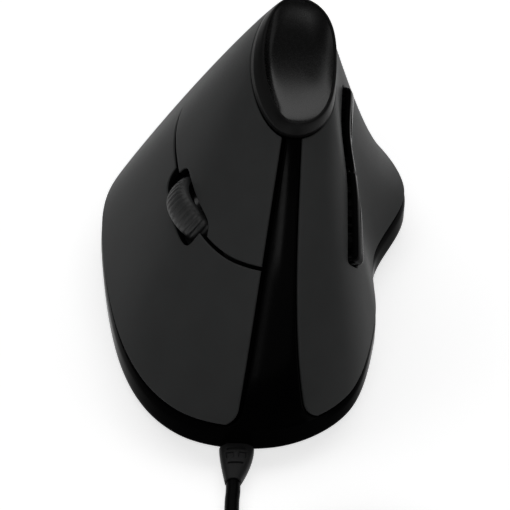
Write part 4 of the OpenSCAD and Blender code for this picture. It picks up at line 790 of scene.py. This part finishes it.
# Strain relief: a tapered sleeve with two arches and two windows pressed into its upper side, on a neck
EXIT_U = 0.4
EXIT_Y = float(foot_point(np.array(EXIT_U), np.array(0.0), 0.0)[1])
RELIEF_START, RELIEF_L, RELIEF_RINGS, RELIEF_SIDES = 0.4, 8.6, 120, 144
RELIEF_END = EXIT_Y + RELIEF_START + RELIEF_L
RELIEF_W, RELIEF_TIP, RELIEF_X, CABLE_X = 7.8, 3.7, 4.1, 4.8
RELIEF_Z, RELIEF_Z_FALL, RELIEF_H, RELIEF_H_FALL = 2.6, 0.7, 2.4, 0.6
RELIEF_TAPER, RELIEF_SQUARE = 1.6, 0.8
NECK_X, NECK_Y, NECK_Z = (1.7, 6.5), (51.0, EXIT_Y + 1.2), (1.1, 4.5)


def soft_sign(x, power):
    return math.copysign(abs(x) ** power, x)


ARCH_W, ARCHES, ARCH_DIP = 0.55, ((0.12, 0.18), (0.53, 0.58)), 0.4
WINDOW_W, WINDOW, WINDOW_DIP = (0.15, 0.62), (0.25, 0.42), 0.3


def relief_dip(t, x, z):
    if z < 0:
        return 0.0
    if abs(x) < ARCH_W and any(start < t < end for start, end in ARCHES):
        return ARCH_DIP
    window = WINDOW_W[0] < abs(x) < WINDOW_W[1] and WINDOW[0] < t < WINDOW[1]
    return WINDOW_DIP if window else 0.0


ts, qs = np.linspace(0, 1, RELIEF_RINGS), np.linspace(0, 2 * math.pi, RELIEF_SIDES + 1)[:-1]
shape = []
for t in ts:
    w = (RELIEF_W + (RELIEF_TIP - RELIEF_W) * t ** RELIEF_TAPER) / 2
    h = RELIEF_H - RELIEF_H_FALL * t
    for q in qs:
        x, z = soft_sign(math.cos(q), RELIEF_SQUARE), soft_sign(math.sin(q), RELIEF_SQUARE)
        d = relief_dip(t, x, z)
        shape.append((RELIEF_X + (CABLE_X - RELIEF_X) * t * t + (w - d) * x,
                      EXIT_Y + RELIEF_START + RELIEF_L * t, RELIEF_Z - RELIEF_Z_FALL * t + (h - d) * z))
relief_faces = grid_faces(len(ts), len(qs), wrap_j=True)
n = len(qs)
relief_faces += [tuple(range(n)), tuple((len(ts) - 1) * n + k for k in reversed(range(n)))]
neck = [(NECK_X[i], y, NECK_Z[k]) for y in NECK_Y for i, k in ((0, 0), (1, 0), (1, 1), (0, 1))]
neck_faces = [(0, 1, 2, 3), (7, 6, 5, 4), (0, 4, 5, 1), (1, 5, 6, 2), (2, 6, 7, 3), (3, 7, 4, 0)]
relief = add("relief_sleeve", *join((shape, relief_faces), (neck, neck_faces)), RELIEF, "relief", ("strain_relief",))
relief.data.set_sharp_from_angle(angle=math.radians(40))

# Cable: out of the relief, into a coil of two layers and on to the plug
CABLE_R = 1.6
LEAD = [(4.8, 70.5, 1.8), (5, 73, 1.65), (5, 79, 1.6), (5, 85, 1.7), (5, 91, 2), (5, 97, 2.4)]
TAIL = [(7.5, 120, 5.6), (8, 127, 4), (7.5, 134, 2.4), (5, 141, 1.7), (0.5, 147, 1.6), (-5, 151, 1.8),
        (-11, 152.8, 2.8), (-15, 153, 3.9), (-19, 153, 4.05)]
COIL_R, COIL_STEP, COIL_Z = 28.6, 3.7, 2.6
COIL_X, COIL_Y = 5 - COIL_R, 111
COIL_TURNS, COIL_POINTS, COIL_BACK, COIL_RISE = 12, 24, 11.5, 5.5
COIL_TOP = COIL_Z + COIL_STEP
COIL_EASE = 3.2  # how far before and after the coil the cable lies along it


def coil_point(t):
    """Inwards in the lower layer, up, and outwards again in the upper one; t counts turns."""
    r = COIL_R - COIL_STEP * min(t, COIL_BACK - t)
    z = COIL_Z + COIL_STEP * min(1, max(0, 2 * (t - COIL_RISE)))
    return (COIL_X + r * math.cos(2 * math.pi * t), COIL_Y + r * math.sin(2 * math.pi * t), z)


coil = [coil_point(k / COIL_POINTS) for k in range(COIL_TURNS * COIL_POINTS + 1)]
path = [(CABLE_X, RELIEF_END, 1.8)] + LEAD + [(5, COIL_Y - COIL_EASE, COIL_Z)] + coil
path += [(coil[-1][0], COIL_Y + COIL_EASE, COIL_TOP)] + TAIL
path = np.array(path) * MM
curve = bpy.data.curves.new("cable", "CURVE")
curve.dimensions = "3D"
curve.bevel_depth = CABLE_R * MM
curve.bevel_resolution = 3
curve.resolution_u = 3
curve.use_fill_caps = True
spline = curve.splines.new("BEZIER")
spline.bezier_points.add(len(path) - 1)
for point, co in zip(spline.bezier_points, path):
    point.co = co
    point.handle_left_type = point.handle_right_type = "AUTO"
cable = bpy.data.objects.new("cable", curve)
scene.collection.objects.link(cable)
curve.materials.append(CABLE)
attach(cable, "housing")
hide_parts("cable_lead", "cable_coil", "cable_tail")

# The tie is a flat band round all the coil's turns.
TIE_W, TIE_T, TIE_FIT, TIE_CORNER, TIE_SQUARE, TIE_STEPS = 5, 0.6, 0.3, 0.9, 0.35, 32
clear_by = CABLE_R + TIE_FIT
tie_r = (COIL_R - COIL_STEP * COIL_BACK / 2 - clear_by, COIL_R + COIL_STEP * (COIL_TURNS - COIL_BACK) + clear_by)
tie_z = (COIL_Z - clear_by, COIL_TOP + clear_by)


def tie_loop(grow):
    r = TIE_CORNER + grow
    half_r, half_z = (tie_r[1] - tie_r[0]) / 2 + grow - r, (tie_z[1] - tie_z[0]) / 2 + grow - r
    out = []
    for k, (sx, sz) in enumerate(((1, 1), (-1, 1), (-1, -1), (1, -1))):
        for q in np.radians(np.linspace(0, 90, TURN_STEPS) + 90 * k):
            out.append((sum(tie_r) / 2 + sx * half_r + r * math.cos(q),
                        sum(tie_z) / 2 + sz * half_z + r * math.sin(q)))
    return out


bands = []
for q in np.linspace(0, 2 * math.pi, TIE_STEPS + 1)[:-1]:
    aside = TIE_W / 2 * soft_sign(math.cos(q), TIE_SQUARE)
    out_by = TIE_T / 2 * (1 + soft_sign(math.sin(q), TIE_SQUARE))
    bands.append([(COIL_X - r, COIL_Y - aside, z) for r, z in tie_loop(out_by)])
bands = np.array(bands)
tie_faces = grid_faces(*bands.shape[:2], wrap_i=True, wrap_j=True)
tie = add("tie_band", bands.reshape(-1, 3), tie_faces, TIE, "tie", ("cable_tie",))

# Pieces that keep their solids
keep(PLATE, "base_plate", "bottom_plate")
keep(GLIDE, "glide", "front_glide", "rear_glide")
keep(SCREW, "screw", "housing_screws", "board_screws", "cradle_pin")
keep(BOARD, "circuit_board", "main_board", "finger_board", "thumb_board")
keep(CHIP, "chip", "sensor_chip", "controller_chip")
keep(LENS, "lens", "sensor_lens")
keep(LAMP, "lamp", "sensor_led")
keep(LINK, "connector", "cable_header", "usb_tongue")
keep(INNER, "inner_plastic", "finger_carrier", "wheel_cradle")
keep(SWITCH, "switch_body", "upper_switch", "lower_switch", "wheel_switch", "wheel_encoder",
     "thumb_switch_rear", "thumb_switch_front")
keep(PLUNGER, "plunger", "upper_plunger", "lower_plunger", "wheel_plunger",
     "thumb_plunger_rear", "thumb_plunger_front")
keep(CORE, "wheel_core", "wheel_hub")
keep(RIBBON, "flat_cable", "finger_ribbon", "thumb_ribbon")
keep(CABLE, "cable", "inner_lead")
keep(GRIP, "plug_grip", "usb_overmould")
keep(STEEL, "plug_metal", "usb_shell")

# Small bevels, in millimetres, on the solids that show
BEVELS = {"usb_overmould": 0.5, "usb_shell": 0.12, "usb_tongue": 0.12, "bottom_plate": 0.12, "front_glide": 0.15,
          "rear_glide": 0.15, "housing_screws": 0.12}
for name, width in BEVELS.items():
    nodes[name].modifiers.new("weld", "WELD").merge_threshold = 2e-6
    bevel = nodes[name].modifiers.new("bevel", "BEVEL")
    bevel.width = width * MM
    bevel.segments = 2
    bevel.limit_method = "ANGLE"
    bevel.angle_limit = math.radians(35)

# White floor, which keeps the shadow. Its glow is for camera, glossy and transmission rays only.
FLOOR_GLOW, FLOOR_HALF, FLOOR_DROP = 0.62, 3.0, 0.0002
floor_mat = bpy.data.materials.new("floor")
floor_mat.use_nodes = True
tree = floor_mat.node_tree
shader = tree.nodes["Principled BSDF"]
shader.inputs["Base Color"].default_value = (0.82, 0.82, 0.82, 1)
shader.inputs["Roughness"].default_value = 0.9
shader.inputs["Specular IOR Level"].default_value = 0.1
shader.inputs["Emission Color"].default_value = (1, 1, 1, 1)
rays = tree.nodes.new("ShaderNodeLightPath").outputs


def math_node(operation, first, second):
    node = tree.nodes.new("ShaderNodeMath")
    node.operation = operation
    tree.links.new(first, node.inputs[0])
    if isinstance(second, float):
        node.inputs[1].default_value = second
    else:
        tree.links.new(second, node.inputs[1])
    return node.outputs[0]


seen = math_node("MAXIMUM", rays["Is Camera Ray"], rays["Is Glossy Ray"])
seen = math_node("MAXIMUM", seen, rays["Is Transmission Ray"])
tree.links.new(math_node("MULTIPLY", seen, FLOOR_GLOW), shader.inputs["Emission Strength"])
floor_mesh = bpy.data.meshes.new("floor")
corners = [(sx * FLOOR_HALF, sy * FLOOR_HALF, 0) for sx, sy in ((-1, -1), (1, -1), (1, 1), (-1, 1))]
floor_mesh.from_pydata(corners, [], [(0, 1, 2, 3)])
floor_mesh.materials.append(floor_mat)
floor = bpy.data.objects.new("floor", floor_mesh)
floor.location = (0, 0, -FLOOR_DROP)
scene.collection.objects.link(floor)

# Light: soft boxes, and two strips in front that draw the streak on the spine
world = bpy.data.worlds.new("studio")
scene.world = world
world.use_nodes = True
world.node_tree.nodes["Background"].inputs["Color"].default_value = (1, 1, 1, 1)
world.node_tree.nodes["Background"].inputs["Strength"].default_value = 0.04
BODY_MID, SPINE_MID = (0, 0, 0.03), (0, 0.03, 0.04)


def lamp(name, place, aim, size, power):
    data = bpy.data.lights.new(name, "AREA")
    data.shape = "RECTANGLE"
    data.size, data.size_y = size
    data.energy = power
    light = bpy.data.objects.new(name, data)
    light.location = place
    light.rotation_euler = (Vector(aim) - Vector(place)).to_track_quat("-Z", "Y").to_euler()
    scene.collection.objects.link(light)


lamp("key_light", (0, -0.45, 0.8), BODY_MID, (1.5, 0.6), 4.0)
lamp("left_light", (0.8, 0.1, 0.5), BODY_MID, (0.5, 0.7), 0.5)
lamp("right_light", (-0.8, 0.1, 0.5), BODY_MID, (0.5, 0.7), 0.35)
lamp("front_light", (0, 0.9, 0.7), BODY_MID, (1.2, 0.6), 1.7)
lamp("strip_light_high", (-0.06, 0.61, 0.75), SPINE_MID, (0.1, 0.22), 0.75)
lamp("strip_light_low", (0.0, 0.79, 0.55), SPINE_MID, (0.06, 0.36), 0.2)
